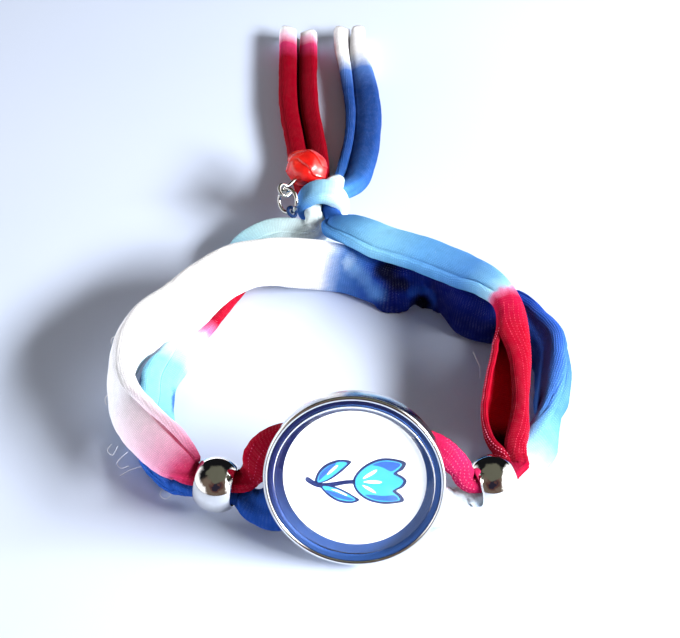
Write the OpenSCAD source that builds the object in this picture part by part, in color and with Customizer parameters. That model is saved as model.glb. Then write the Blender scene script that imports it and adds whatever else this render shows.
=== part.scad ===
// Fabric wristband: one ribbon of stretch cloth wound twice round the wrist, knotted at the
// back, threaded through two metal beads and a round slider medallion with a glass cabochon.
// It lies on a flat surface, z = 0, with the medallion at the front (-Y) and the tails behind.

/* [Medallion] */
// Outer diameter of the metal cup
cup_d = 22.6; // [22:0.1:23.4]
// Depth of the cup, rim to back
cup_depth = 3.2; // [3:0.1:3.4]
// Thickness of the cup's floor
cup_floor = 0.8; // [0.6:0.1:1]
// Diameter of the glass cabochon
cabochon_d = 20; // [19:0.1:20.2]
// Height of the cabochon's upright edge
cabochon_edge = 1.7; // [1.4:0.1:2]
// Height of the cabochon at its middle
cabochon_h = 3; // [2.4:0.1:4]
// Angle by which the medallion leans back
cup_lean = 23; // [21:1:25]
// Angle by which the medallion turns towards -X
cup_turn = 5; // [0:1:8]

/* [Slider tunnel] */
// Length of the tunnel behind the cup, along the ribbon
tunnel_len = 9; // [7:0.5:10]
// Clear height of the tunnel
tunnel_h = 13.6; // [13.4:0.1:14]
// Clear depth of the tunnel
tunnel_gap = 2.8; // [2.6:0.1:3.2]
// Thickness of the tunnel's metal
tunnel_wall = 0.9; // [0.7:0.1:1.1]

/* [Metal beads] */
// Diameter of a bead
bead_d = 7.2; // [7:0.1:7.6]
// Length of a bead along its hole
bead_len = 5; // [4.8:0.1:5.2]
// Diameter of the hole
bead_bore = 4.7; // [4.7:0.1:4.8]
// Angle of the left bead's hole in plan
bead_left_turn = 14; // [12:1:16]
// Angle of the right bead's hole in plan
bead_right_turn = 24; // [22:1:26]

/* [Ribbon] */
// Thickness of the cloth
cloth = 1; // [1:0.05:1.1]
// Longest distance between two rings of the folded ribbon
ring_step = 3.2; // [2.6:0.1:4]
// Points across the folded cloth, from one free edge to the other
fold_points = 14; // [12:1:16]
// Depth by which the two free edges turn in
lip_dip = 0.35; // [0.2:0.05:0.4]

/* [Knot] */
// Width of the knot
knot_w = 7.8; // [7.6:0.1:8.2]
// Height of the knot
knot_h = 6.6; // [6.2:0.1:7]
// Length of the knot along the tails
knot_len = 4.8; // [4.4:0.1:5.2]

/* [Charm] */
// Outer diameter of the jump ring
jump_d = 4.2; // [4:0.1:4.3]
// Thickness of the jump ring's wire
jump_wire = 0.6; // [0.5:0.05:0.7]
// Width of the rose bead
rose_d = 6.4; // [6:0.1:6.8]
// Height of the rose bead
rose_h = 5.2; // [4.8:0.1:5.6]
// Thickness of the eye pin's wire
pin_wire = 0.6; // [0.5:0.05:0.7]
// Outer diameter of the eye pin's eye
eye_d = 2.4; // [2.2:0.1:2.6]

/* [Hidden] */
$fn = 64;

// Middle of the whole footprint in the coordinates of the tables below
footprint = [-0.3, 12, 0];
// Middle of the medallion's front rim, whose lowest edge touches the surface
cup_at = [1.7, -43, cup_d / 2 * cos(cup_lean) + cup_depth * sin(cup_lean)];
// Middles of the beads
bead_left_at = [-15.6, -37.6, 5.6];
bead_right_at = [19.3, -37.2, 5.6];
// Middle of the knot
knot_at = [-2.6, 19.4, 5.2];

// Directions of the medallion: to its right, up along its face and out of it
cup_right = [cos(cup_turn), -sin(cup_turn), 0];
cup_up = [sin(cup_lean) * sin(cup_turn), sin(cup_lean) * cos(cup_turn), cos(cup_lean)];
cup_out = [-cos(cup_lean) * sin(cup_turn), -cos(cup_lean) * cos(cup_turn), sin(cup_lean)];
// The ribbon's way through each bead, clockwise seen from above
left_way = [-cos(bead_left_turn), sin(bead_left_turn), 0];
right_way = [-cos(bead_right_turn), -sin(bead_right_turn), 0];

// Half of the distance between the middles of the two turns in the tunnel and in a bead
tunnel_lane = 3.35;
bead_lane = 1.08;
// How far a ribbon runs straight past the middle of a bead
bead_run = bead_len / 2 + 0.35;
// Half of the distance between the two ribbon ends in the knot, and between the ends that meet
knot_lane = 1.4;
end_gap = 0.1;

// A point given by the medallion's own directions
function on_cup(right, up, out) = cup_at + right * cup_right + up * cup_up + out * cup_out;
// Middle of the tunnel's depth, measured out of the medallion's front
tunnel_out = -(cup_depth + tunnel_gap / 2);

// Each row of a ribbon's table is one section of the folded cloth:
// [x, y, z, width, thickness, roll, slit, gap, cloth]
// roll 0 stands the width upright, and a positive roll leans its top out of the loop.
// slit is the place of the two free edges round the section, from the outer face (0) over the
// width's far end (90) to the inner face (180), and gap is half of the angle between them.
function row(at, width, thick, roll, slit, gap, wall = cloth) =
    concat(at, [width, thick, roll, slit, gap, wall]);
function tunnel_row(right, up, roll, slit) =
    row(on_cup(right, up, tunnel_out), 6.3, 2.2, roll, slit, 6, cloth * 0.9);
function bead_row(at, way, along, up, roll, slit) =
    row(at + along * way + [0, 0, up], 3, 2, roll, slit, 6, cloth * 0.75);
function knot_row(side, along, roll, slit) =
    row(knot_at + [side * knot_lane, along, 0], 2.6, 2.4, roll, slit, 8, cloth * 0.75);

// The long turn: slider, left bead, round the back, right bead, slider
long_rows = [
    tunnel_row(-end_gap, tunnel_lane, -cup_lean, 180),
    tunnel_row(-4.8, tunnel_lane, -cup_lean, 180),
    row(on_cup(-9.5, 1.9, -4.9), 6.2, 2.4, -24, 180, 6),
    row(on_cup(-11.8, 0.2, -5.1), 5.4, 2.4, -32, 170, 6),
    row(on_cup(-13.1, -1.9, -5.3), 3.3, 2.1, -56, 140, 6),
    bead_row(bead_left_at, left_way, -bead_run, bead_lane, -90, 60),
    bead_row(bead_left_at, left_way, bead_run, bead_lane, -88, 30),
    row([-20, -35.6, 7.3], 5.2, 3, -60, 25, 8),
    row([-22.4, -32.9, 7.4], 6.6, 3.4, -48, 25, 8),
    row([-25.4, -28.8, 6.8], 7, 3.6, -36, 30, 5),
    row([-28, -24.2, 6], 7.1, 3.6, -20, 40, 4),
    row([-29.4, -19.4, 5.2], 7.8, 3.6, -8, 50, 4),
    row([-29.6, -14.4, 4.9], 8.4, 3.8, -5, 55, 4),
    row([-28.3, -10.3, 5.3], 7.8, 3.6, 6, 55, 4),
    row([-25.6, -7.2, 6.25], 7.2, 3.3, 22, 55, 4),
    row([-22.1, -4.4, 6.2], 8, 3, 36, 55, 4),
    row([-18.9, -0.1, 6.3], 7.7, 3, 34, 55, 4),
    row([-15.5, 3.3, 6.3], 7.3, 3, 29, 55, 4),
    row([-11, 5.3, 6.2], 7, 3, 22, 55, 4),
    row([-5.6, 6.2, 5.2], 8, 3, 9, 55, 4),
    row([-0.8, 6.2, 4.5], 8.6, 3, 0, 50, 4),
    row([2, 5.6, 4.1], 7.8, 3.2, 2, 50, 5),
    row([4.8, 4.2, 3.9], 7.4, 3.4, 8, 50, 6),
    row([7.4, 2.9, 3.8], 7.2, 3.2, 12, 50, 6),
    row([9.8, 3.1, 3.9], 7, 2.8, 4, 50, 6),
    row([12, 3.5, 3.8], 7, 2.6, 0, 50, 6),
    row([14, 2.6, 3.8], 7, 2.6, 0, 50, 6),
    row([15.8, 0.2, 3.9], 6.9, 2.8, 6, 50, 6),
    row([18, -3, 3.9], 7.3, 3, 14, 50, 6),
    row([21.2, -4.4, 3.8], 7.2, 3, 12, 50, 5),
    row([24, -4.2, 4.4], 8.7, 2.9, 2, 50, 5),
    row([26.1, -6.1, 4.5], 9, 3, 0, 50, 5),
    row([27.6, -8.6, 4.7], 9, 3.2, -2, 50, 5),
    row([28.8, -12.2, 4.7], 9, 3.4, -5, 55, 5),
    row([29.1, -16.2, 4.7], 9, 3.6, -6, 65, 8),
    row([28.5, -20.4, 4.6], 8.8, 3.9, -6, 80, 14),
    row([27.8, -23.8, 4.3], 7.8, 3.6, -9, 95, 22),
    row([26.7, -27.2, 3.5], 6.2, 3.2, -20, 105, 18),
    row([25, -30.6, 3.2], 5, 2.8, -56, 115, 10),
    row([23.7, -33.7, 3.9], 3.7, 2.3, -84, 120, 8),
    bead_row(bead_right_at, right_way, -bead_run - 0.8, -bead_lane, -90, 130),
    bead_row(bead_right_at, right_way, -bead_run, -bead_lane, -90, 150),
    bead_row(bead_right_at, right_way, bead_run, -bead_lane, -90, 180),
    row(on_cup(12.4, -5.4, -7.1), 4.2, 2.4, -56, 180, 6),
    row(on_cup(9.8, -5.2, -6.3), 5.6, 2.4, -32, 180, 6),
    tunnel_row(4.8, -tunnel_lane, -cup_lean, 180),
    tunnel_row(end_gap, -tunnel_lane, -cup_lean, 180)
];

// The left half of the second turn: slider, left bead, under the long turn, knot
left_rows = [
    tunnel_row(-end_gap, -tunnel_lane, 180 - cup_lean, 0),
    tunnel_row(-4.8, -tunnel_lane, 180 - cup_lean, 0),
    row(on_cup(-9.5, -6.2, -4.9), 6.2, 2.4, 156, 0, 6),
    row(on_cup(-12.2, -6.3, -5.1), 4.8, 2.4, 142, 10, 6),
    row(on_cup(-13.8, -5.7, -5.3), 3.6, 2.2, 115, 30, 6),
    bead_row(bead_left_at, left_way, -bead_run, -bead_lane, 90, 60),
    bead_row(bead_left_at, left_way, bead_run, -bead_lane, 90, 90),
    row([-19.9, -35.3, 3.3], 4.2, 2.4, 88, 120, 8),
    row([-21.8, -32.2, 2.1], 5.2, 2.5, 86, 150, 6),
    row([-23.9, -28.4, 1.7], 5.6, 2.6, 82, 165, 5),
    row([-24.5, -24, 1.9], 5.4, 2.5, 70, 170, 5),
    row([-24.8, -19.6, 2.5], 5.3, 2.5, 52, 175, 5),
    row([-24.7, -15.2, 2.5], 5.4, 2.5, 54, 175, 5),
    row([-23.1, -10.5, 1.75], 5.1, 2.4, 76, 175, 5),
    row([-21.5, -5.8, 1.35], 4.6, 2.2, 86, 175, 5),
    row([-19.3, -1.2, 1.25], 4.8, 2.1, 88, 178, 5),
    row([-16.9, 3.9, 1.25], 5, 2.1, 90, 180, 5),
    row([-14.8, 8.3, 1.6], 5.4, 2.1, 92, 182, 5),
    row([-13.1, 12.8, 2.9], 6, 2.4, 92, 190, 5),
    row([-9.4, 14.4, 4], 6, 2.3, 90, 195, 5),
    row([-5, 14, 4.5], 4.3, 2.1, 90, 195, 6),
    row([-4, 16.4, 5.1], 2.7, 2.4, 90, 192, 7),
    knot_row(-1, -1.8, 90, 190),
    knot_row(-1, -end_gap, 90, 190)
];

// The right half of the second turn: knot, over the long turn, right bead, slider
right_rows = [
    knot_row(1, -end_gap, -90, 30),
    knot_row(1, -1.8, -90, 30),
    row([-0.6, 14.6, 5.9], 3.3, 2.6, -88, 32, 6),
    row([-0.1, 11.6, 7.8], 5.4, 2.8, -88, 36, 5),
    row([2.4, 8.5, 9.3], 6, 2.8, -88, 38, 5),
    row([5.8, 6, 9.4], 6.4, 2.8, -88, 38, 5),
    row([9.8, 4, 9.5], 6.4, 2.8, -88, 38, 5),
    row([13.9, 1.7, 9.5], 6.4, 2.8, -88, 38, 5),
    row([17.6, -0.9, 9.6], 6.6, 2.8, -86, 34, 5),
    row([20.5, -4.2, 10], 5.9, 2.8, -82, 28, 5),
    row([22.5, -7.4, 9.8], 5, 2.8, -76, 24, 5),
    row([23.3, -11.4, 8.9], 4.6, 3, -74, 26, 12),
    row([23, -16.2, 8], 5.5, 3.2, -76, 34, 22),
    row([22.1, -21.6, 7.4], 6.1, 3.6, -76, 40, 32),
    row([21.5, -27, 7.2], 6.3, 4, -78, 40, 34),
    row([21.5, -31.2, 7.2], 5.6, 3.5, -80, 34, 26),
    row([22.8, -34, 6.9], 3.8, 2.8, -86, 34, 12),
    bead_row(bead_right_at, right_way, -bead_run - 0.8, bead_lane, -90, 50),
    bead_row(bead_right_at, right_way, -bead_run, bead_lane, -90, 60),
    bead_row(bead_right_at, right_way, bead_run, bead_lane, -90, 90),
    row(on_cup(12.4, -0.3, -7.1), 3.9, 2.4, -50, 150, 6),
    row(on_cup(9.8, 2.1, -6.2), 4.6, 2.4, -28, 180, 6),
    tunnel_row(4.8, tunnel_lane, -cup_lean, 180),
    tunnel_row(end_gap, tunnel_lane, -cup_lean, 180)
];

// The two loose ends behind the knot, lying on the surface
left_tail_rows = [
    knot_row(-1, end_gap, 90, 180),
    knot_row(-1, 2.5, 90, 180),
    row([-4.4, 24.4, 3.7], 4.4, 2.6, 90, 180, 8),
    row([-4.4, 28.4, 2.7], 5.6, 3, 90, 180, 10),
    row([-4.8, 34, 1.85], 6.2, 3.4, 90, 180, 10),
    row([-5.6, 41, 1.75], 6.4, 3.4, 90, 180, 10),
    row([-6.5, 48, 1.75], 6.4, 3.4, 90, 180, 10),
    row([-6.9, 55, 1.75], 6.4, 3.4, 90, 180, 10),
    row([-7, 63, 1.75], 6.4, 3.4, 90, 180, 10),
    row([-7.1, 71.4, 1.75], 6.4, 3.3, 90, 180, 12)
];
right_tail_rows = [
    knot_row(1, end_gap, 90, 165),
    knot_row(1, 2.5, 90, 165),
    row([-0.1, 24.6, 4.1], 4, 2.8, 90, 160, 8),
    row([1.7, 28.6, 3], 5.4, 3.2, 90, 158, 8),
    row([2.7, 34.4, 1.9], 5.8, 3.4, 90, 156, 8),
    row([3.5, 40.6, 1.75], 5.8, 3.4, 90, 155, 8),
    row([3.8, 47, 1.75], 5.8, 3.4, 90, 155, 8),
    row([3.4, 53.4, 1.75], 5.8, 3.4, 90, 158, 8),
    row([2.6, 60, 1.75], 5.6, 3.4, 90, 166, 8),
    row([1.8, 66, 1.75], 5.4, 3.3, 90, 176, 10),
    row([1.6, 71.4, 1.75], 5.4, 3.2, 90, 185, 12)
];

// A smooth curve through the rows of a table, at place s counted in rows
function row_at(rows, i) = rows[max(0, min(len(rows) - 1, i))];
function spline(a, b, c, d, t) =
    0.5 * (2 * b + (c - a) * t + (2 * a - 5 * b + 4 * c - d) * t * t
           + (3 * b - a - 3 * c + d) * t * t * t);
function station(rows, s) =
    let (i = min(floor(s), len(rows) - 2))
    spline(row_at(rows, i - 1), row_at(rows, i), row_at(rows, i + 1), row_at(rows, i + 2), s - i);
function place(r) = [r[0], r[1], r[2]];
function unit(v) = v / norm(v);

// Where the rings of a ribbon stand, counted in rows
function ring_places(rows) = concat(
    [for (i = [0 : len(rows) - 2])
        let (n = max(1, round(norm(place(rows[i + 1]) - place(rows[i])) / ring_step)))
        for (k = [0 : n - 1]) i + k / n],
    [len(rows) - 1]);

// One point of a section: angle a round it, on a wall whose rounded ends have radius r
function clamp(v) = max(-1, min(1, v));
function apart(a, b) = abs(a - b) > 180 ? 360 - abs(a - b) : abs(a - b);
function lip(a, slit) = lip_dip * exp(-pow(apart(a, slit) / 32, 2));
function fold_point(r, width, thick, a, slit) =
    let (q = r - lip(a, slit) * min(1, (thick - 2) / 1.2))
    [q * cos(a), (width - thick) / 2 * clamp(1.6 * sin(a)) + r * sin(a)];

// One ring of the folded cloth in space: the outer wall, then back along the inner wall
function ring(rows, s) =
    let (r = station(rows, s),
         step = 0.02,
         way = unit(place(station(rows, min(len(rows) - 1, s + step)))
                    - place(station(rows, max(0, s - step)))),
         side = unit(cross([0, 0, 1], way)),
         up = cross(way, side),
         tall = cos(r[5]) * up + sin(r[5]) * side,
         across = cos(r[5]) * side - sin(r[5]) * up,
         turns = [for (k = [0 : fold_points])
                  r[6] + r[7] + (360 - 2 * r[7]) * k / fold_points],
         outer = [for (a = turns) fold_point(r[4] / 2, r[3], r[4], a % 360, r[6])],
         inner = [for (a = turns) fold_point(r[4] / 2 - r[8], r[3], r[4], a % 360, r[6])])
    [for (p = concat(outer, [for (k = [fold_points : -1 : 0]) inner[k]]))
        place(r) + p[0] * across + p[1] * tall];

// A ribbon: the rings of its table joined into one wall of cloth
module ribbon(rows) {
    places = ring_places(rows);
    size = 2 * fold_points + 2;
    last = (len(places) - 1) * size;
    points = [for (s = places) each ring(rows, s)];
    sides = [for (j = [0 : len(places) - 2]) for (k = [0 : size - 1])
             let (a = j * size + k, b = j * size + (k + 1) % size)
             each [[a, a + size, b + size], [a, b + size, b]]];
    start_cap = [for (k = [0 : fold_points - 1])
                 each [[k, k + 1, size - 2 - k], [k, size - 2 - k, size - 1 - k]]];
    end_cap = [for (f = start_cap) [last + f[0], last + f[2], last + f[1]]];
    polyhedron(points, concat(sides, start_cap, end_cap), convexity = 8);
}

// Puts a shape drawn round the medallion's front centre, facing +Z, into its leaning place
module on_medallion() {
    translate(cup_at) rotate([90 - cup_lean, 0, -cup_turn]) children();
}

module at_home() {
    translate(-footprint) children();
}

module setting() {
    rim = 0.45;
    color("silver") at_home() on_medallion() {
        rotate_extrude() {
            difference() {
                translate([0, -cup_depth]) square([cup_d / 2 - 0.2, cup_depth]);
                translate([0, -cup_depth + cup_floor]) square([cabochon_d / 2 + 0.15, cup_depth]);
            }
            translate([cup_d / 2 - rim, -rim]) circle(rim, $fn = 24);
            translate([cup_d / 2 - rim, -cup_depth + rim]) circle(rim, $fn = 24);
        }
        translate([-tunnel_len / 2, -tunnel_h / 2 - tunnel_wall, -cup_depth - tunnel_gap - tunnel_wall])
            difference() {
                cube([tunnel_len, tunnel_h + 2 * tunnel_wall, tunnel_gap + tunnel_wall + 0.2]);
                translate([-1, tunnel_wall, tunnel_wall])
                    cube([tunnel_len + 2, tunnel_h, tunnel_gap]);
            }
    }
}

// The printed picture lies under the glass
disc_h = 0.25;
module picture_disc() {
    color("white") at_home() on_medallion()
        translate([0, 0, -cup_depth + cup_floor + 0.05]) cylinder(h = disc_h, d = cabochon_d);
}

module cabochon() {
    rise = cabochon_h - cabochon_edge;
    dome = (pow(cabochon_d / 2, 2) + rise * rise) / (2 * rise);
    color("lightcyan") at_home() on_medallion()
        translate([0, 0, -cup_depth + cup_floor + disc_h + 0.1])
            intersection() {
                cylinder(h = cabochon_h, d = cabochon_d);
                translate([0, 0, cabochon_h - dome]) sphere(dome, $fn = 96);
            }
}

// A metal bead with a wide hole along X
module bead(at, turn) {
    color("gainsboro") at_home() translate(at) rotate([0, 90, turn]) rotate_extrude()
        intersection() {
            circle(d = bead_d);
            translate([bead_bore / 2, -bead_len / 2]) square([bead_d, bead_len]);
        }
}

module bead_left() {
    bead(bead_left_at, -bead_left_turn);
}

module bead_right() {
    bead(bead_right_at, bead_right_turn);
}

module long_turn() {
    color("royalblue") at_home() ribbon(long_rows);
}

module left_turn() {
    color("lightskyblue") at_home() ribbon(left_rows);
}

module right_turn() {
    color("crimson") at_home() ribbon(right_rows);
}

module left_tail() {
    color("firebrick") at_home() ribbon(left_tail_rows);
}

module right_tail() {
    color("steelblue") at_home() ribbon(right_tail_rows);
}

// The knot: a fat wrap of cloth round the ribbon ends, with a small pinched fold at its left
knot_hole = [2 * knot_lane + 2.9, 2.7];
knot_turns = 24;
knot_profile = [[-1, 0.62], [-0.86, 0.86], [-0.5, 1], [-0.1, 0.93], [0.3, 1], [0.8, 0.88], [1, 0.6]];
// The jump ring's middle, the way from there to the eye and from there to the fold of the knot
jump_r = (jump_d - jump_wire) / 2;
jump_at = [-7.75, 18.6, 6.85];
to_eye = [-0.35, 0.75, 0.56];
fold_at = jump_at - knot_at - jump_r * to_eye;
// Directions of the jump ring's axis and of the fold's hole: polar angle, then azimuth
jump_aim = [0, 67, 221.5];
fold_aim = [0, 43, -21.5];
module knot() {
    n = len(knot_profile);
    size = n + 2;
    points = [for (j = [0 : knot_turns - 1])
              let (a = 360 * j / knot_turns, c = cos(a), s = sin(a),
                   hole = [knot_hole[0] / 2 * clamp(1.3 * c), knot_hole[1] / 2 * clamp(1.3 * s)])
              each concat(
                  [[hole[0], -knot_len / 2 * 0.9, hole[1]]],
                  [for (p = knot_profile)
                      [hole[0] + (knot_w / 2 * c - hole[0]) * p[1], p[0] * knot_len / 2,
                       hole[1] + (knot_h / 2 * s - hole[1]) * p[1]]],
                  [[hole[0], knot_len / 2 * 0.9, hole[1]]])];
    faces = [for (j = [0 : knot_turns - 1]) for (k = [0 : size - 1])
             let (a = j * size + k, b = j * size + (k + 1) % size,
                  c = ((j + 1) % knot_turns) * size + k,
                  d = ((j + 1) % knot_turns) * size + (k + 1) % size)
             each [[a, d, b], [a, c, d]]];
    color("skyblue") at_home() translate(knot_at) {
        polyhedron(points, faces, convexity = 6);
        translate(fold_at) rotate(fold_aim) rotate_extrude($fn = 24)
            translate([0.95, 0]) circle(0.45, $fn = 12);
    }
}

// The charm at the knot: a jump ring through the fold, an eye pin and a rose bead
module jump_ring() {
    color("silver") at_home() translate(jump_at) rotate(jump_aim) rotate_extrude()
        translate([jump_r, 0]) circle(d = jump_wire, $fn = 20);
}

// The rose bead's middle, and the turn, dip and twist of its eye pin
rose_at = [-5, 25.05, 8];
pin_turn = 56;
pin_dip = -4;
pin_twist = 44;
// Distances along the pin from the rose's middle: to the eye's middle and to the far end
eye_reach = 6;
pin_reach = 3.1;
module eye_pin() {
    eye_r = (eye_d - pin_wire) / 2;
    color("silver") at_home() translate(rose_at) rotate([pin_twist, pin_dip, pin_turn]) {
        translate([-eye_reach + eye_r, 0, 0]) rotate([0, 90, 0])
            cylinder(h = eye_reach - eye_r + pin_reach, d = pin_wire, $fn = 20);
        translate([pin_reach, 0, 0]) sphere(d = pin_wire * 1.5, $fn = 24);
        translate([-eye_reach, 0, 0]) {
            rotate_extrude() translate([eye_r, 0]) circle(d = pin_wire, $fn = 20);
            rotate([0, 90, 163]) translate([0, 0, eye_r])
                cylinder(h = 1.3, d = pin_wire, $fn = 20);
        }
    }
}

// The rose: a rounded bud whose petals wind up round it
rose_rings = 12;
rose_sides = 20;
function petal(turn, rise) = 0.07 * cos(3 * turn + 260 * rise) - 0.05 * exp(-pow((rise - 1) / 0.16, 2));
module rose_bead() {
    points = concat(
        [[0, 0, -rose_h / 2]],
        [for (i = [1 : rose_rings - 1]) for (j = [0 : rose_sides - 1])
            let (rise = i / rose_rings, polar = 180 * rise, turn = 360 * j / rose_sides,
                 swell = 1 + petal(turn, rise) * sin(polar))
            [rose_d / 2 * swell * sin(polar) * cos(turn), rose_d / 2 * swell * sin(polar) * sin(turn),
             -rose_h / 2 * cos(polar)]],
        [[0, 0, rose_h / 2 * 0.92]]);
    top = len(points) - 1;
    faces = concat(
        [for (j = [0 : rose_sides - 1]) [0, 1 + j, 1 + (j + 1) % rose_sides]],
        [for (i = [0 : rose_rings - 3]) for (j = [0 : rose_sides - 1])
            let (a = 1 + i * rose_sides + j, b = 1 + i * rose_sides + (j + 1) % rose_sides)
            each [[a, a + rose_sides, b + rose_sides], [a, b + rose_sides, b]]],
        [for (j = [0 : rose_sides - 1])
            [top, top - rose_sides + (j + 1) % rose_sides, top - rose_sides + j]]);
    color("tomato") at_home() translate(rose_at) rotate([0, pin_dip, pin_turn])
        difference() {
            polyhedron(points, faces, convexity = 4);
            rotate([0, 90, 0]) cylinder(h = 2 * rose_d, d = pin_wire + 0.4, center = true, $fn = 24);
        }
}

setting();
picture_disc();
cabochon();
bead_left();
bead_right();
long_turn();
left_turn();
right_turn();
knot();
left_tail();
right_tail();
jump_ring();
eye_pin();
rose_bead();
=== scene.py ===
import logging
import math
from dataclasses import dataclass, field
from enum import Enum
from functools import cache
from typing import Any, Iterable, Sequence

import bmesh
import bpy
import numpy as np
from mathutils import Matrix, Vector


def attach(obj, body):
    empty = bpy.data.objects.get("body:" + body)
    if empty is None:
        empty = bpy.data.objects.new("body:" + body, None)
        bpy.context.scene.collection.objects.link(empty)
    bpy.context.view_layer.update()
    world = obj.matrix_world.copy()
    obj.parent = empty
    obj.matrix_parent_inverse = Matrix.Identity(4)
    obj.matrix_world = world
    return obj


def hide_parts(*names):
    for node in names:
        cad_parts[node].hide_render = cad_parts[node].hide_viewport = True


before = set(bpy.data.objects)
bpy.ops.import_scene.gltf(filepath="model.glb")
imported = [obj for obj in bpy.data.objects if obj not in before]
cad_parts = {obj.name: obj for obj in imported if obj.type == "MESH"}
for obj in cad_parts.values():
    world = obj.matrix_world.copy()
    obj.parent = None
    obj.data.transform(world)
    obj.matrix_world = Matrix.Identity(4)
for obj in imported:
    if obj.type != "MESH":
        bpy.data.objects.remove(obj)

LOG = logging.getLogger("wristband")
MM = 0.001
FOOTPRINT = np.array([-0.3, 12.0, 0.0])  # the footprint's middle in the tables, in millimetres
CLOTH_MAP = "cloth"
MAP_SPAN = 20  # millimetres that the map of a turned piece spans
FLAT = Matrix.Identity(4)
Colour = tuple[float, ...]
Shade = tuple[int, int, int]
Line = list[tuple[float, float]]


class Hold(Enum):
    FOLDED = "folded"
    GATHERED = "gathered"


def dye(red: int, green: int, blue: int) -> Colour:
    """Turns a screen colour into a scene colour.

    Args:
        red: Red from 0 to 255.
        green: Green from 0 to 255.
        blue: Blue from 0 to 255.

    Returns:
        The linear colour with full alpha.
    """
    def linear(value: int) -> float:
        """Takes the screen curve off one channel."""
        v = value / 255
        return v / 12.92 if v <= 0.04045 else ((v + 0.055) / 1.055) ** 2.4
    return linear(red), linear(green), linear(blue), 1.0


def toned(colour: Colour, factor: float, lift: float = 0.0) -> Colour:
    """Returns a scene colour made brighter or darker."""
    return (*(min(1.0, factor * c + lift) for c in colour[:3]), 1.0)


def home(points: Any) -> np.ndarray:
    """Moves points from the tables' millimetres to their place in the frame, in metres."""
    return (np.asarray(points, float) - FOOTPRINT) * MM


# Node trees


class Bench:
    """A work bench over one node tree, to add nodes and join them."""

    def __init__(self, tree: bpy.types.NodeTree) -> None:
        """Keeps the tree to work on."""
        self.tree = tree

    def fill(self, node: bpy.types.Node, values: dict[Any, Any]) -> bpy.types.Node:
        """Joins or sets a node's inputs.

        Args:
            node: The node.
            values: Inputs by name or number, each with a plain value or a socket to join.

        Returns:
            The same node.
        """
        for key, value in values.items():
            if isinstance(value, bpy.types.NodeSocket):
                self.tree.links.new(value, node.inputs[key])
            else:
                node.inputs[key].default_value = value
        return node

    def add(self, kind: str, values: dict[Any, Any] | None = None, **props: Any) -> bpy.types.Node:
        """Adds a node.

        Args:
            kind: The node's type name.
            values: Its inputs, as fill takes them.
            props: Properties of the node itself.

        Returns:
            The node.
        """
        node = self.tree.nodes.new(kind)
        for name, value in props.items():
            setattr(node, name, value)
        return self.fill(node, values or {})

    def math(self, operation: str, *values: Any) -> bpy.types.NodeSocket:
        """Adds a Math node over numbers or sockets and returns its result."""
        return self.add("ShaderNodeMath", dict(enumerate(values)), operation=operation).outputs[0]

    def times(self, value: Any, factor: Any, start: Any = 0.0) -> bpy.types.NodeSocket:
        """Returns a value times a factor, plus a start."""
        return self.math("MULTIPLY_ADD", value, factor, start)

    def vector(self, operation: str, *values: Any) -> bpy.types.NodeSocket:
        """Adds a Vector Math node over vectors or sockets and returns its result."""
        node = self.add("ShaderNodeVectorMath", dict(enumerate(values)), operation=operation)
        return node.outputs["Value" if operation in ("LENGTH", "DOT_PRODUCT") else "Vector"]

    def scaled(self, vector: Any, factor: Any) -> bpy.types.NodeSocket:
        """Returns a vector or a colour times one number."""
        node = self.add("ShaderNodeVectorMath", {0: vector, "Scale": factor}, operation="SCALE")
        return node.outputs[0]

    def split(self, vector: Any) -> Any:
        """Returns the three parts of a vector."""
        return self.add("ShaderNodeSeparateXYZ", {0: vector}).outputs

    def place(self) -> bpy.types.NodeSocket:
        """Returns the place on the piece."""
        return self.add("ShaderNodeTexCoord").outputs["Object"]

    def flat_place(self) -> bpy.types.NodeSocket:
        """Returns the place on the piece's own map."""
        return self.add("ShaderNodeUVMap", uv_map=CLOTH_MAP).outputs[0]

    def noise(self, place: Any, scale: Any, detail: float = 2.0, rough: float = 0.5) -> Any:
        """Adds a Noise Texture and returns its outputs, Fac and Color."""
        return self.add("ShaderNodeTexNoise", {"Vector": place, "Scale": scale, "Detail": detail,
                                               "Roughness": rough}).outputs

    def mix(self, factor: Any, first: Any, second: Any, blend: str = "MIX") -> bpy.types.NodeSocket:
        """Mixes two colours and returns the result, which is the first one where factor is 0."""
        return self.add("ShaderNodeMix", {0: factor, 6: first, 7: second}, data_type="RGBA",
                        blend_type=blend).outputs[2]

    def tinted(self, colour: Any, shade: Any) -> bpy.types.NodeSocket:
        """Returns a colour times a plain brightness."""
        grey = self.add("ShaderNodeCombineColor", {0: shade, 1: shade, 2: shade}).outputs[0]
        return self.mix(1.0, colour, grey, "MULTIPLY")

    def step(self, value: Any, low: Any, high: Any) -> bpy.types.NodeSocket:
        """Turns the range low to high of a value into 0 to 1, softly, and returns it."""
        return self.add("ShaderNodeMapRange", {0: value, 1: low, 2: high, 3: 0.0, 4: 1.0},
                        interpolation_type="SMOOTHSTEP").outputs[0]

    def ramp(self, value: Any, stops: Sequence[tuple[float, Colour]]) -> bpy.types.NodeSocket:
        """Adds a colour ramp.

        Args:
            value: Where on the ramp to look.
            stops: Places from 0 to 1, each with its colour, in order.

        Returns:
            The colour.
        """
        node = self.add("ShaderNodeValToRGB", {0: value})
        elements = node.color_ramp.elements
        while len(elements) < len(stops):
            elements.new(1.0)
        for element, (place, colour) in zip(elements, stops):
            element.position, element.color = place, colour
        return node.outputs[0]

    def bump(self, height: Any, distance: float, strength: float) -> bpy.types.NodeSocket:
        """Returns the normals of a relief."""
        return self.add("ShaderNodeBump", {"Height": height, "Distance": distance,
                                           "Strength": strength}).outputs[0]


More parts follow.
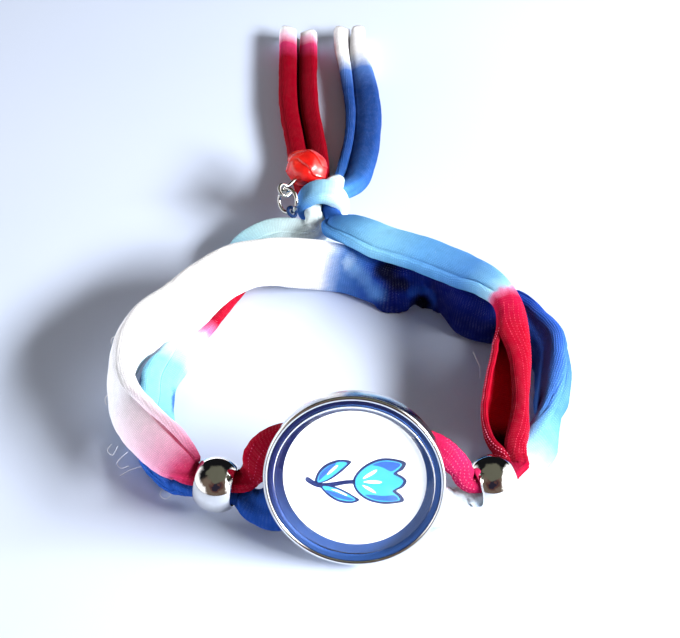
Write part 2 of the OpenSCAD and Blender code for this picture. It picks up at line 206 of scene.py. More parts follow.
def start_tree(name: str, kind: str, inputs: Iterable[tuple[str, str, Any]],
               outputs: Iterable[tuple[str, str, Any]]) -> tuple[bpy.types.NodeTree, Bench, Any]:
    """Starts a node group.

    Args:
        name: Its name.
        kind: The tree's type name.
        inputs: Name, type and start value of each input.
        outputs: The same of each output.

    Returns:
        The group, a bench over it, and the outputs of its Group Input.
    """
    tree = bpy.data.node_groups.new(name, kind)
    for side, sockets in (("INPUT", inputs), ("OUTPUT", outputs)):
        for label, sort, start in sockets:
            made = tree.interface.new_socket(name=label, in_out=side,
                                             socket_type="NodeSocket" + sort)
            if start is not None:
                made.default_value = start
    bench = Bench(tree)
    return tree, bench, bench.add("NodeGroupInput").outputs


@cache
def knit_relief() -> bpy.types.NodeTree:
    """Builds the face of fine jersey, which is columns of small V stitches with the odd uneven one,
    and a mask of the raised stitch tops that get a painted highlight.

    Returns:
        The group.
    """
    tree, b, given = start_tree("Knit relief", "ShaderNodeTree", (
        ("Cloth", "Vector", None), ("Wale width", "Float", 0.42), ("Course height", "Float", 0.36)),
        (("Height", "Float", None), ("Sparkle", "Float", None)))
    bend, slope, loop_depth, grain_depth = 0.22, 0.8, 0.6, 0.35
    cloth = given["Cloth"]
    bent = b.vector("MULTIPLY_ADD", b.noise(cloth, 0.9)["Color"], (bend, bend, 0.0), cloth)
    along, across, _ = b.split(bent)
    across = b.math("FRACT", b.math("DIVIDE", across, given["Wale width"]))
    leg = b.math("MULTIPLY", b.math("ABSOLUTE", b.math("SUBTRACT", across, 0.5)), 2.0)
    along = b.math("ADD", b.math("DIVIDE", along, given["Course height"]),
                   b.math("MULTIPLY", leg, slope))
    loop = b.times(b.math("SINE", b.math("MULTIPLY", along, math.tau)), 0.5, 0.5)
    body = b.math("SINE", b.math("MULTIPLY", leg, math.pi))
    raised = b.math("MULTIPLY", body, b.times(loop, loop_depth, 1 - loop_depth))
    grain = b.math("SUBTRACT", b.noise(cloth, 3.4, 3.0, 0.7)["Fac"], 0.5)
    # Picks the raised stitch tops that get a painted highlight.
    bright = b.step(b.noise(cloth, 0.8, 3.0)["Fac"], 0.3, 0.75)
    b.add("NodeGroupOutput", {0: b.times(grain, grain_depth, raised),
                              1: b.math("MULTIPLY", bright, b.step(raised, 0.5, 0.95))})
    return tree


@cache
def dye_and_light_patch() -> bpy.types.NodeTree:
    """Builds a soft-edged patch of dye, of painted shade or of painted light, at a place on the
    flat cloth.

    Returns:
        The group.
    """
    tree, b, given = start_tree("Dye stain", "ShaderNodeTree", (
        ("Cloth", "Vector", None), ("Centre", "Vector", None),
        ("Reach", "Vector", (1.0, 1.0, 1.0)), ("Softness", "Float", 0.5)),
        (("Mask", "Float", None),))
    ragged = 0.8
    noise = b.noise(given["Cloth"], 0.55, 4.0, 0.65)["Color"]
    off = b.vector("MULTIPLY_ADD", noise, (2 * ragged, 2 * ragged, 0.0), given["Cloth"])
    off = b.vector("SUBTRACT", off, (ragged, ragged, 0.0))
    off = b.vector("DIVIDE", b.vector("SUBTRACT", off, given["Centre"]), given["Reach"])
    soft = given["Softness"]
    b.add("NodeGroupOutput", {0: b.step(b.vector("LENGTH", off), b.math("ADD", 1.0, soft),
                                        b.math("SUBTRACT", 1.0, soft))})
    return tree


@cache
def fine_scratches() -> bpy.types.NodeTree:
    """Builds the hairline scratches and faint smears that handling leaves on polished metal.

    Returns:
        The group.
    """
    tree, b, given = start_tree("Fine scratches", "ShaderNodeTree", (
        ("Place", "Vector", None), ("Scale", "Float", 900.0)),
        (("Smear", "Float", None), ("Height", "Float", None)))
    smear = b.noise(given["Place"], 260.0, 3.0)["Fac"]
    pulled = b.vector("MULTIPLY", given["Place"], (1.0, 5.0, 0.6))
    b.add("NodeGroupOutput", {0: b.step(smear, 0.35, 0.75),
                              1: b.noise(pulled, given["Scale"], 5.0, 0.8)["Fac"]})
    return tree


# Finishes


def blank_material(name: str) -> tuple[bpy.types.Material, Bench, bpy.types.Node]:
    """Starts a material.

    Args:
        name: Its name.

    Returns:
        The material, a bench over its nodes, and its Principled shader.
    """
    material = bpy.data.materials.new(name)
    material.use_nodes = True
    return material, Bench(material.node_tree), material.node_tree.nodes["Principled BSDF"]


@dataclass(frozen=True)
class DyeAndLightPatch:
    """A patch of dye, painted shade or painted light on the flat cloth: middle and reach as (row,
    share of the width), and its colour.
    """

    row: float
    across: float
    rows: float
    spread: float
    shade: Shade
    amount: float
    softness: float


@dataclass(frozen=True)
class DyedJersey:
    """Stretch jersey, dyed in soft bands along its length, with patches of painted shade and light
    on its folds, painted shade between its stitches and painted highlights on their tops.
    """

    name: str
    bands: tuple[tuple[float, Shade], ...]
    dye_and_light_patches: tuple[DyeAndLightPatch, ...] = ()
    # Share of the painted highlight on the raised stitch tops.
    stitch_highlight: float = 0.25
    relief: float = 0.00007
    edge_wobble: float = 2.2
    # How much lighter the painted stitch highlight makes the colour, and the colour it is mixed
    # towards.
    highlight_lift: float = 1.75
    stitch: Colour = (0.92, 0.86, 0.9, 1.0)

    def material(self, ribbon: "Ribbon") -> bpy.types.Material:
        """Makes the material.

        Args:
            ribbon: The ribbon that wears it, for the places of its rows.

        Returns:
            The material.
        """
        made, b, shader = blank_material(self.name)
        long, wide, uv = ribbon.length, ribbon.flat_width, b.flat_place()
        cloth = b.vector("MULTIPLY", uv, (long, wide, 1.0))
        soft = b.math("SUBTRACT", b.noise(cloth, 0.35, 5.0, 0.7)["Fac"], 0.5)
        along = b.math("ADD", b.split(uv)[0], b.math("MULTIPLY", soft, self.edge_wobble / long))
        colour = b.ramp(along, [(ribbon.share_at(row), dye(*shade)) for row, shade in self.bands])
        # Patches of other dye, and of painted shade and painted light on the folds.
        for dye_or_light_patch in self.dye_and_light_patches:
            middle = ribbon.share_at(dye_or_light_patch.row) * long
            reach = abs(ribbon.share_at(dye_or_light_patch.row + dye_or_light_patch.rows) * long - middle)
            spot = b.add("ShaderNodeGroup", {
                "Cloth": cloth, "Centre": (middle, dye_or_light_patch.across * wide, 0.0),
                "Reach": (reach, dye_or_light_patch.spread * wide, 1.0), "Softness": dye_or_light_patch.softness},
                node_tree=dye_and_light_patch())
            colour = b.mix(b.math("MULTIPLY", spot.outputs[0], dye_or_light_patch.amount), colour,
                           dye(*dye_or_light_patch.shade))
        knit = b.add("ShaderNodeGroup", {"Cloth": cloth}, node_tree=knit_relief()).outputs
        # Darker between the stitches, a painted shade, times a random mottle of the dye; then the
        # raised stitch tops get a painted highlight.
        mottle = b.times(b.noise(cloth, 1.1, 4.0)["Fac"], 0.24, 0.88)
        colour = b.tinted(colour, b.math("MULTIPLY", b.times(knit["Height"], 0.20, 0.84), mottle))
        light = b.mix(0.15, b.scaled(colour, self.highlight_lift), self.stitch)
        b.fill(shader, {
            "Base Color": b.mix(b.math("MULTIPLY", knit["Sparkle"], self.stitch_highlight), colour, light),
            "Roughness": b.times(knit["Height"], -0.1, 0.93), "Specular IOR Level": 0.03,
            "Normal": b.bump(knit["Height"], self.relief, 0.9)})
        return made


@dataclass(frozen=True)
class PolishedAlloy:
    """Bright plated alloy with hairline scratches."""

    name: str
    colour: Colour
    roughness: float
    wear: float
    scratch_depth: float = 0.00002

    def material(self) -> bpy.types.Material:
        """Makes the material.

        Returns:
            The material.
        """
        made, b, shader = blank_material(self.name)
        wear = b.add("ShaderNodeGroup", {"Place": b.place()}, node_tree=fine_scratches()).outputs
        b.fill(shader, {
            "Base Color": b.mix(wear["Smear"], self.colour, toned(self.colour, 0.82)),
            "Roughness": b.times(wear["Smear"], 0.08, self.roughness), "Metallic": 1.0,
            "Normal": b.bump(wear["Height"], self.scratch_depth, self.wear)})
        return made


@dataclass(frozen=True)
class ClearGlass:
    """The clear glass of the cabochon, which lets the light fall on the card behind it."""

    name: str = "Clear glass"
    bend: float = 1.46
    tint: Colour = (0.97, 0.99, 1.0, 1.0)
    shadow_tint: Colour = (0.96, 0.98, 1.0, 1.0)

    def material(self) -> bpy.types.Material:
        """Makes the material.

        Returns:
            The material.
        """
        made, b, shader = blank_material(self.name)
        film = b.step(b.noise(b.place(), 240.0, 3.0)["Fac"], 0.5, 0.8)
        b.fill(shader, {"Roughness": b.math("MULTIPLY", film, 0.03), "Base Color": self.tint,
                        "Transmission Weight": 1.0, "IOR": self.bend})
        clear = b.add("ShaderNodeBsdfTransparent", {0: self.shadow_tint})
        ray = b.add("ShaderNodeLightPath").outputs["Is Shadow Ray"]
        both = b.add("ShaderNodeMixShader", {0: ray, 1: shader.outputs[0], 2: clear.outputs[0]})
        b.fill(made.node_tree.nodes["Material Output"], {0: both.outputs[0]})
        return made


@dataclass(frozen=True)
class PrintInk:
    """Ink on coated card, a little uneven, lighter towards the lower right of the disc, a painted
    light.
    """

    name: str
    colour: Colour
    lit_colour: Colour | None = None

    def material(self) -> bpy.types.Material:
        """Makes the material.

        Returns:
            The material.
        """
        made, b, shader = blank_material(self.name)
        uv = b.flat_place()
        right, up, _ = b.split(uv)
        grain = b.noise(uv, 90.0, 3.0)["Fac"]
        # Lighter towards the lower right, the side the window light comes from: painted light.
        slope = b.math("ADD", b.math("MULTIPLY", right, 0.6), b.math("MULTIPLY", up, -0.8))
        colour = b.mix(b.step(slope, -0.35, 0.3), self.colour,
                       self.lit_colour or toned(self.colour, 1.12, 0.01))
        b.fill(shader, {"Base Color": b.tinted(colour, b.times(grain, 0.12, 0.94)),
                        "Roughness": b.times(grain, 0.1, 0.55), "Specular IOR Level": 0.15})
        return made


@dataclass(frozen=True)
class RoseResin:
    """Coral red resin with a soft gloss, darker in the seams between the petals, a painted shade.
    """

    name: str = "Coral resin"
    seam_shade_colour: Shade = (120, 4, 8)
    tones: tuple[tuple[float, Shade], ...] = (
        (0.3, (170, 12, 10)), (0.55, (204, 26, 20)), (0.8, (222, 60, 46)))

    def material(self) -> bpy.types.Material:
        """Makes the material.

        Returns:
            The material.
        """
        made, b, shader = blank_material(self.name)
        cloud = b.noise(b.place(), 420.0, 4.0)["Fac"]
        tone = b.ramp(cloud, [(place, dye(*shade)) for place, shade in self.tones])
        # Painted shade in the seams between the petals.
        hollow = b.add("ShaderNodeAttribute", attribute_name="hollow").outputs["Fac"]
        b.fill(shader, {"Base Color": b.mix(hollow, tone, dye(*self.seam_shade_colour)),
                        "Roughness": b.times(cloud, 0.12, 0.2), "Subsurface Weight": 0.15,
                        "Subsurface Radius": (0.0012, 0.0004, 0.0003)})
        return made


@dataclass(frozen=True)
class LooseThread:
    """Single fibres that stand off the cloth."""

    name: str
    shade: Shade

    def material(self) -> bpy.types.Material:
        """Makes the material.

        Returns:
            The material.
        """
        made, b, shader = blank_material(self.name)
        colour = dye(*self.shade)
        b.fill(shader, {"Roughness": 0.8, "Base Color": b.mix(
            b.noise(b.place(), 700.0)["Fac"], toned(colour, 0.75), colour)})
        return made


# Pieces and meshes


def new_object(name: str, mesh: bpy.types.Mesh) -> bpy.types.Object:
    """Puts a mesh into the scene.

    Args:
        name: The object's name.
        mesh: The mesh.

    Returns:
        The object, at the origin.
    """
    made = bpy.data.objects.new(name, mesh)
    bpy.context.scene.collection.objects.link(made)
    return made


def dressed_piece(mesh: bpy.types.Mesh, material: bpy.types.Material) -> bpy.types.Object:
    """Makes an object of a mesh and gives it its finish.

    Args:
        mesh: The mesh, which has the piece's name.
        material: Its finish.

    Returns:
        The object.
    """
    mesh.materials.append(material)
    LOG.info("%s: %d faces", mesh.name, len(mesh.polygons))
    return new_object(mesh.name, mesh)


def finished(bm: bmesh.types.BMesh, name: str) -> bpy.types.Mesh:
    """Turns worked faces into a mesh.

    Args:
        bm: The faces, which are given free.
        name: The mesh's name.

    Returns:
        The mesh.
    """
    mesh = bpy.data.meshes.new(name)
    bm.to_mesh(mesh)
    bm.free()
    return mesh


def map_from_front(bm: bmesh.types.BMesh) -> None:
    """Gives faces a map seen along the Z axis.

    Args:
        bm: The faces.
    """
    uv = bm.loops.layers.uv.get(CLOTH_MAP) or bm.loops.layers.uv.new(CLOTH_MAP)
    for loop in (loop for face in bm.faces for loop in face.loops):
        loop[uv].uv = (loop.vert.co.x / MM / MAP_SPAN, loop.vert.co.y / MM / MAP_SPAN)


def turned_mesh(name: str, profile: Line, place: Matrix, sides: int = 128) -> bpy.types.Mesh:
    """Turns a profile round the Z axis.

    Args:
        name: The mesh's name.
        profile: Radius and height in millimetres, a closed loop or a line from pole to pole.
        place: Where the turned shape goes, in metres.
        sides: How many steps it has round the axis.

    Returns:
        The mesh, with faces that point outwards.
    """
    bm = bmesh.new()
    turns = [math.tau * i / sides for i in range(sides)]
    pole = 1e-6
    rows = [[bm.verts.new((r * math.cos(t) * MM, r * math.sin(t) * MM, z * MM))
             for t in (turns if r > pole else turns[:1])] for r, z in profile]
    open_line = profile[0][0] < pole and profile[-1][0] < pole
    for low, high in list(zip(rows, rows[1:])) + ([] if open_line else [(rows[-1], rows[0])]):
        for i in range(sides):
            n = (i + 1) % sides
            corners = [low[i % len(low)], low[n % len(low)],
                       high[n % len(high)], high[i % len(high)]]
            bm.faces.new(list(dict.fromkeys(corners))).smooth = True
    bmesh.ops.recalc_face_normals(bm, faces=bm.faces)
    map_from_front(bm)
    bm.transform(place)
    return finished(bm, name)


def arc(centre: tuple[float, float], radius: float, start: float, end: float, steps: int) -> Line:
    """Returns the points of an arc in degrees round a centre, both ends included."""
    turns = [math.radians(start + (end - start) * i / steps) for i in range(steps + 1)]
    return [(centre[0] + radius * math.cos(t), centre[1] + radius * math.sin(t)) for t in turns]


def catmull(points: np.ndarray, s: np.ndarray) -> np.ndarray:
    """Runs a smooth curve through rows of numbers.

    Args:
        points: The rows.
        s: Places counted in rows.

    Returns:
        One row of numbers for each place.
    """
    last = len(points) - 1
    i = np.minimum(np.floor(s).astype(int), last - 1)
    t = (s - i)[:, None]
    a, b_, c, d = (points[np.clip(i + o, 0, last)] for o in (-1, 0, 1, 2))
    return 0.5 * (2 * b_ + (c - a) * t + (2 * a - 5 * b_ + 4 * c - d) * t * t
                  + (3 * b_ - a - 3 * c + d) * t ** 3)


def line_mesh(name: str, lines: Iterable[np.ndarray]) -> bpy.types.Mesh:
    """Makes a mesh of lines alone, for a tree to follow.

    Args:
        name: The mesh's name.
        lines: The points of each line, in metres.

    Returns:
        The mesh.
    """
    verts: list[Sequence[float]] = []
    edges: list[tuple[int, int]] = []
    for line in lines:
        edges += [(len(verts) + i, len(verts) + i + 1) for i in range(len(line) - 1)]
        verts += line.tolist()
    mesh = bpy.data.meshes.new(name)
    mesh.from_pydata(verts, edges, [])
    return mesh


# Trees for repeated work


def grow(host: bpy.types.Object, tree: bpy.types.NodeTree,
         sizes: dict[str, Any]) -> bpy.types.Object:
    """Runs a geometry tree over an object and keeps the result as its plain mesh.

    Args:
        host: The object with the starting mesh.
        tree: The tree.
        sizes: The tree's inputs by name.

    Returns:
        The same object.
    """
    modifier = host.modifiers.new(tree.name, "NODES")
    modifier.node_group = tree
    for item in tree.interface.items_tree:
        if item.item_type == "SOCKET" and item.in_out == "INPUT" and item.name in sizes:
            modifier[item.identifier] = sizes[item.name]
    graph = bpy.context.evaluated_depsgraph_get()
    grown = bpy.data.meshes.new_from_object(host.evaluated_get(graph), depsgraph=graph)
    host.modifiers.clear()
    grown.name = host.name
    host.data = grown
    LOG.info("%s: %d faces", host.name, len(grown.polygons))
    return host


def start_geometry(name: str, *inputs: tuple[str, str, Any]
                   ) -> tuple[bpy.types.NodeTree, Bench, Any]:
    """Starts a geometry tree that takes a geometry, some sizes and a material, and returns it."""
    return start_tree(name, "GeometryNodeTree", (
        ("Geometry", "Geometry", None), *inputs, ("Material", "Material", None)),
        (("Geometry", "Geometry", None),))


def close_tree(b: Bench, shape: Any, material: Any) -> bpy.types.NodeTree:
    """Ends a geometry tree with real geometry, smooth faces and a material.

    Args:
        b: The bench over the tree.
        shape: The geometry so far.
        material: The socket of the material.

    Returns:
        The tree.
    """
    real = b.add("GeometryNodeRealizeInstances", {0: shape}).outputs[0]
    smooth = b.add("GeometryNodeSetShadeSmooth", {0: real}).outputs[0]
    dressed = b.add("GeometryNodeSetMaterial", {"Geometry": smooth, "Material": material})
    b.add("NodeGroupOutput", {0: dressed.outputs[0]})
    return b.tree


def random_size(b: Bench, low: Sequence[float], high: Sequence[float], seed: Any) -> Any:
    """Returns a random vector between two others, for each instance of a geometry tree."""
    return b.add("FunctionNodeRandomValue", {"Min": low, "Max": high, "Seed": seed},
                 data_type="FLOAT_VECTOR").outputs[0]


@cache
def wire_path() -> bpy.types.NodeTree:
    """Builds the tree of a round wire that follows a line of points.

    Returns:
        The tree.
    """
    _, b, given = start_geometry("Wire path", ("Wire diameter", "Float", 0.0006),
                                 ("Sides", "Int", 12))
    line = b.add("GeometryNodeMeshToCurve", {0: given["Geometry"]}).outputs[0]
    circle = b.add("GeometryNodeCurvePrimitiveCircle", {
        "Resolution": given["Sides"],
        "Radius": b.math("MULTIPLY", given["Wire diameter"], 0.5)}).outputs[0]
    wire = b.add("GeometryNodeCurveToMesh", {"Curve": line, "Profile Curve": circle,
                                             "Fill Caps": True}).outputs[0]
    return close_tree(b, wire, given["Material"])


def bend_wire(name: str, lines: Iterable[np.ndarray], diameter: float, sides: int,
              material: bpy.types.Material) -> bpy.types.Object:
    """Bends wires along lines of points, in metres, and returns them as one object."""
    return grow(new_object(name, line_mesh(name, lines)), wire_path(),
                {"Wire diameter": diameter, "Sides": sides, "Material": material})


@cache
def stitch_row() -> bpy.types.NodeTree:
    """Builds the tree of a row of small stitches along an edge, each one lying across it.

    Returns:
        The tree.
    """
    _, b, given = start_geometry(
        "Stitch row", ("Stitch spacing", "Float", 0.0006), ("Stitch size", "Float", 0.0002),
        ("Seed", "Int", 3))
    line = b.add("GeometryNodeMeshToCurve", {0: given["Geometry"]}).outputs[0]
    points = b.add("GeometryNodeCurveToPoints", {"Curve": line, "Length": given["Stitch spacing"]},
                   mode="LENGTH").outputs
    size = random_size(b, (0.6, 0.6, 0.6), (1.2, 1.2, 1.2), given["Seed"])
    knot = b.add("GeometryNodeMeshIcoSphere", {"Radius": 1.0, "Subdivisions": 2}).outputs[0]
    shape = b.add("GeometryNodeTransform", {"Geometry": knot, "Scale": (0.8, 0.8, 1.3)}).outputs[0]
    row = b.add("GeometryNodeInstanceOnPoints", {
        "Points": points[0], "Instance": shape, "Rotation": points["Rotation"],
        "Scale": b.scaled(size, given["Stitch size"])}).outputs[0]
    return close_tree(b, row, given["Material"])


@cache
def loose_fibres() -> bpy.types.NodeTree:
    """Builds the tree of short bent fibres scattered over the face of the cloth.

    Returns:
        The tree.
    """
    _, b, given = start_geometry(
        "Loose fibres", ("Fibres per area", "Float", 500000.0), ("Fibre length", "Float", 0.0008),
        ("Seed", "Int", 7), ("Fibre", "Object", None))
    spread = b.add("GeometryNodeDistributePointsOnFaces", {
        "Mesh": given["Geometry"], "Density": given["Fibres per area"],
        "Seed": given["Seed"]}).outputs
    fibre = b.add("GeometryNodeObjectInfo", {"Object": given["Fibre"]}).outputs["Geometry"]
    turn = random_size(b, (-1.1, -1.1, 0.0), (1.1, 1.1, 6.28), given["Seed"])
    lean = b.add("FunctionNodeRotateRotation", {
        "Rotation": spread["Rotation"], "Rotate By": turn}, rotation_space="LOCAL").outputs[0]
    size = random_size(b, (0.4, 0.4, 0.3), (1.0, 1.0, 1.2), b.math("ADD", given["Seed"], 5.0))
    fuzz = b.add("GeometryNodeInstanceOnPoints", {
        "Points": spread[0], "Instance": fibre, "Rotation": lean,
        "Scale": b.scaled(size, given["Fibre length"])}).outputs[0]
    return close_tree(b, fuzz, given["Material"])


def single_fibre() -> bpy.types.Object:
    """Makes one bent fibre of length 1 that the tree repeats.

    Returns:
        The fibre.
    """
    bm = bmesh.new()
    rings = []
    steps = 4
    for t in (i / steps for i in range(steps + 1)):
        centre = Vector((0.22 * math.sin(2.6 * t), 0.12 * t * t, t * 0.92))
        thin = 0.018 * (1.0 - 0.75 * t)
        rings.append([bm.verts.new(centre + Vector((thin * math.cos(a), thin * math.sin(a), 0)))
                      for a in (0.0, 2.094, 4.189)])
    for low, high in zip(rings, rings[1:]):
        for k in range(3):
            bm.faces.new((low[k], low[(k + 1) % 3], high[(k + 1) % 3], high[k]))
    bm.faces.new(reversed(rings[0]))
    bm.faces.new(rings[-1])
    return new_object("single_fibre", finished(bm, "single_fibre"))


# The tables' own places


@dataclass(frozen=True)
class Lean:
    """Where the medallion stands and how it leans, in millimetres and degrees."""

    cup_d: float = 22.6
    cup_depth: float = 3.2
    tunnel_gap: float = 2.8
    lean: float = 23.0
    turn: float = 5.0

    @property
    def at(self) -> np.ndarray:
        """Middle of the front rim."""
        a = math.radians(self.lean)
        return np.array([1.7, -43.0, self.cup_d / 2 * math.cos(a) + self.cup_depth * math.sin(a)])

    @property
    def ways(self) -> np.ndarray:
        """Directions to the medallion's right, up along its face and out of it, as rows."""
        a, t = math.radians(self.lean), math.radians(self.turn)
        return np.array([
            [math.cos(t), -math.sin(t), 0.0],
            [math.sin(a) * math.sin(t), math.sin(a) * math.cos(t), math.cos(a)],
            [-math.cos(a) * math.sin(t), -math.cos(a) * math.cos(t), math.sin(a)]])

    def matrix(self) -> Matrix:
        """Places a shape that is drawn round the front's centre, facing +Z.

        Returns:
            The place, in metres.
        """
        made = Matrix.Identity(4)
        for column, way in enumerate(self.ways):
            for line in range(3):
                made[line][column] = way[line]
        made.translation = Vector(home(self.at))
        return made


LEAN = Lean()
TUNNEL_LANE, BEAD_LANE, BEAD_RUN, KNOT_LANE, END_GAP = 3.35, 1.08, 2.85, 1.4, 0.1
BEAD_LEFT = np.array([-15.6, -37.6, 5.6])
BEAD_RIGHT = np.array([19.3, -37.2, 5.6])
KNOT = np.array([-2.6, 19.4, 5.2])
LEFT_WAY = np.array([-math.cos(math.radians(14)), math.sin(math.radians(14)), 0.0])
RIGHT_WAY = np.array([-math.cos(math.radians(24)), -math.sin(math.radians(24)), 0.0])

Row = tuple[float, ...]  # x, y, z, width, thickness, roll, slit and gap of a ribbon's section


def cup(right: float, up: float, out: float, *rest: float) -> Row:
    """Makes a row at a point given by the medallion's own directions."""
    return (*map(float, LEAN.at + np.array([right, up, out]) @ LEAN.ways), *rest)


def tunnel(right: float, up: float, roll: float, slit: float) -> Row:
    """Makes a row where the ribbon lies in the slider's tunnel."""
    return cup(right, up, -(LEAN.cup_depth + LEAN.tunnel_gap / 2), 6.3, 2.2, roll, slit, 6)


def bead(left: bool, along: float, up: float, roll: float, slit: float, wide: float = 3,
         thick: float = 2) -> Row:
    """Makes a row where the ribbon passes through a bead, or just beside it."""
    at, way = (BEAD_LEFT, LEFT_WAY) if left else (BEAD_RIGHT, RIGHT_WAY)
    return (*map(float, at + along * way + np.array([0, 0, up])), wide, thick, roll, slit, 6)


def tied(side: float, along: float, roll: float, slit: float) -> Row:
    """Makes a row where the ribbon lies in the knot."""
    at = KNOT + np.array([side * KNOT_LANE, along, 0])
    return (*map(float, at), 2.6, 2.4, roll, slit, 8)


LONG_ROWS = [
    tunnel(-END_GAP, TUNNEL_LANE, -23, 180), tunnel(-4.8, TUNNEL_LANE, -23, 180),
    cup(-9.5, 1.9, -4.9, 6.2, 2.4, -24, 180, 6), cup(-11.8, 0.2, -5.1, 5.4, 2.4, -32, 170, 6),
    cup(-13.1, -1.9, -5.3, 3.3, 2.1, -56, 140, 6), bead(True, -BEAD_RUN, BEAD_LANE, -90, 60),
    bead(True, BEAD_RUN, BEAD_LANE, -88, 30), (-20, -35.6, 7.3, 5.2, 3, -60, 25, 2.5),
    (-22.4, -32.9, 7.4, 6.6, 3.4, -48, 25, 1.5), (-25.4, -28.8, 6.8, 7, 3.6, -36, 30, 1.5),
    (-28, -24.2, 6, 7.1, 3.6, -20, 40, 2.5), (-29.4, -19.4, 5.2, 7.8, 3.6, -8, 50, 4),
    (-29.6, -14.4, 4.9, 8.4, 3.8, -5, 55, 4), (-28.3, -10.3, 5.3, 7.8, 3.6, 6, 55, 4),
    (-25.6, -7.2, 6.25, 7.2, 3.3, 22, 55, 4), (-22.1, -4.4, 6.2, 8, 3, 36, 55, 4),
    (-18.9, -0.1, 6.3, 7.7, 3, 34, 55, 4), (-15.5, 3.3, 6.3, 7.3, 3, 29, 55, 4),
    (-11, 5.3, 6.2, 7, 3, 22, 55, 4), (-5.6, 6.2, 5.2, 8, 3, 9, 55, 4),
    (-0.8, 6.2, 4.5, 8.6, 3, 0, 50, 4), (2, 5.6, 4.1, 7.8, 3.2, 2, 50, 5),
    (4.8, 4.2, 3.9, 7.4, 3.4, 8, 50, 6), (7.4, 2.9, 3.8, 7.2, 3.2, 12, 50, 6),
    (9.8, 3.1, 3.9, 7, 2.8, 4, 50, 6), (12, 3.5, 3.8, 7, 2.6, 0, 50, 6),
    (14, 2.6, 3.8, 7, 2.6, 0, 50, 6), (15.8, 0.2, 3.9, 6.9, 2.8, 6, 50, 6),
    (18, -3, 3.9, 7.3, 3, 14, 50, 6), (21.2, -4.4, 3.8, 7.2, 3, 12, 50, 5),
    (24, -4.2, 4.4, 8.7, 2.9, 2, 50, 5), (26, -6.1, 4.5, 9, 3, 3, 50, 5),
    (27.2, -8.6, 4.7, 9, 3.2, 6, 50, 5), (28.8, -12.2, 4.8, 8.9, 3.4, 11, 55, 5),
    (28.9, -16.2, 4.85, 8.8, 3.8, 14, 65, 8), (28.4, -20.4, 4.8, 8.8, 3.8, 13, 80, 14),
    (27.8, -23.8, 4.4, 8, 3.3, 5, 95, 22), (26.9, -27.2, 3.85, 6.9, 3.2, -14, 105, 18),
    (25, -30.6, 3.2, 5, 2.8, -56, 115, 10), (23.7, -33.7, 3.9, 3.7, 2.3, -84, 120, 8),
    bead(False, -BEAD_RUN - 0.8, -BEAD_LANE, -90, 130),
    bead(False, -BEAD_RUN, -BEAD_LANE, -90, 150),
    bead(False, BEAD_RUN, -BEAD_LANE - 0.2, -88, 180, 3.4, 2.1),
    bead(False, BEAD_RUN + 0.9, -BEAD_LANE - 0.35, -78, 180, 4.2, 2.5),
    cup(12.4, -5.5, -7.1, 4.9, 2.4, -56, 180, 6), cup(9.8, -5.2, -6.3, 5.6, 2.4, -32, 180, 6),
    tunnel(4.8, -TUNNEL_LANE, -23, 180), tunnel(END_GAP, -TUNNEL_LANE, -23, 180)]

LEFT_ROWS = [
    tunnel(-END_GAP, -TUNNEL_LANE, 157, 0), tunnel(-4.8, -TUNNEL_LANE, 157, 0),
    cup(-9.5, -6.2, -4.9, 6.2, 2.4, 156, 0, 6), cup(-12.2, -6.3, -5.1, 4.8, 2.4, 142, 10, 6),
    cup(-13.8, -5.7, -5.3, 3.6, 2.2, 115, 30, 6), bead(True, -BEAD_RUN, -BEAD_LANE, 90, 60),
    bead(True, BEAD_RUN, -BEAD_LANE, 90, 90), (-19.9, -35.3, 3.3, 4.2, 2.4, 88, 120, 8),
    (-21.8, -32.2, 2.1, 5.2, 2.5, 86, 150, 6), (-23.9, -28.4, 1.7, 5.6, 2.6, 82, 165, 5),
    (-24.5, -24, 1.9, 5.4, 2.5, 70, 170, 5), (-24.8, -19.6, 2.5, 5.3, 2.5, 52, 175, 5),
    (-24.7, -15.2, 2.5, 5.4, 2.5, 54, 175, 5), (-23.1, -10.5, 1.75, 5.1, 2.4, 76, 175, 5),
    (-21.5, -5.8, 1.35, 4.6, 2.2, 86, 175, 5), (-19.3, -1.2, 1.25, 4.8, 2.1, 88, 178, 5),
    (-16.9, 3.9, 1.25, 5, 2.1, 90, 180, 5), (-14.8, 8.3, 1.6, 5.4, 2.1, 92, 182, 5),
    (-13.1, 12.8, 2.9, 6, 2.4, 92, 190, 5), (-9.2, 14.3, 4.1, 6.2, 2.4, 90, 195, 5),
    (-4.1, 13.5, 4.6, 5, 2.4, 90, 195, 6), (-3.7, 16.3, 5.1, 2.9, 2.4, 90, 192, 7),
    tied(-1, -1.8, 90, 190), tied(-1, -END_GAP, 90, 190)]

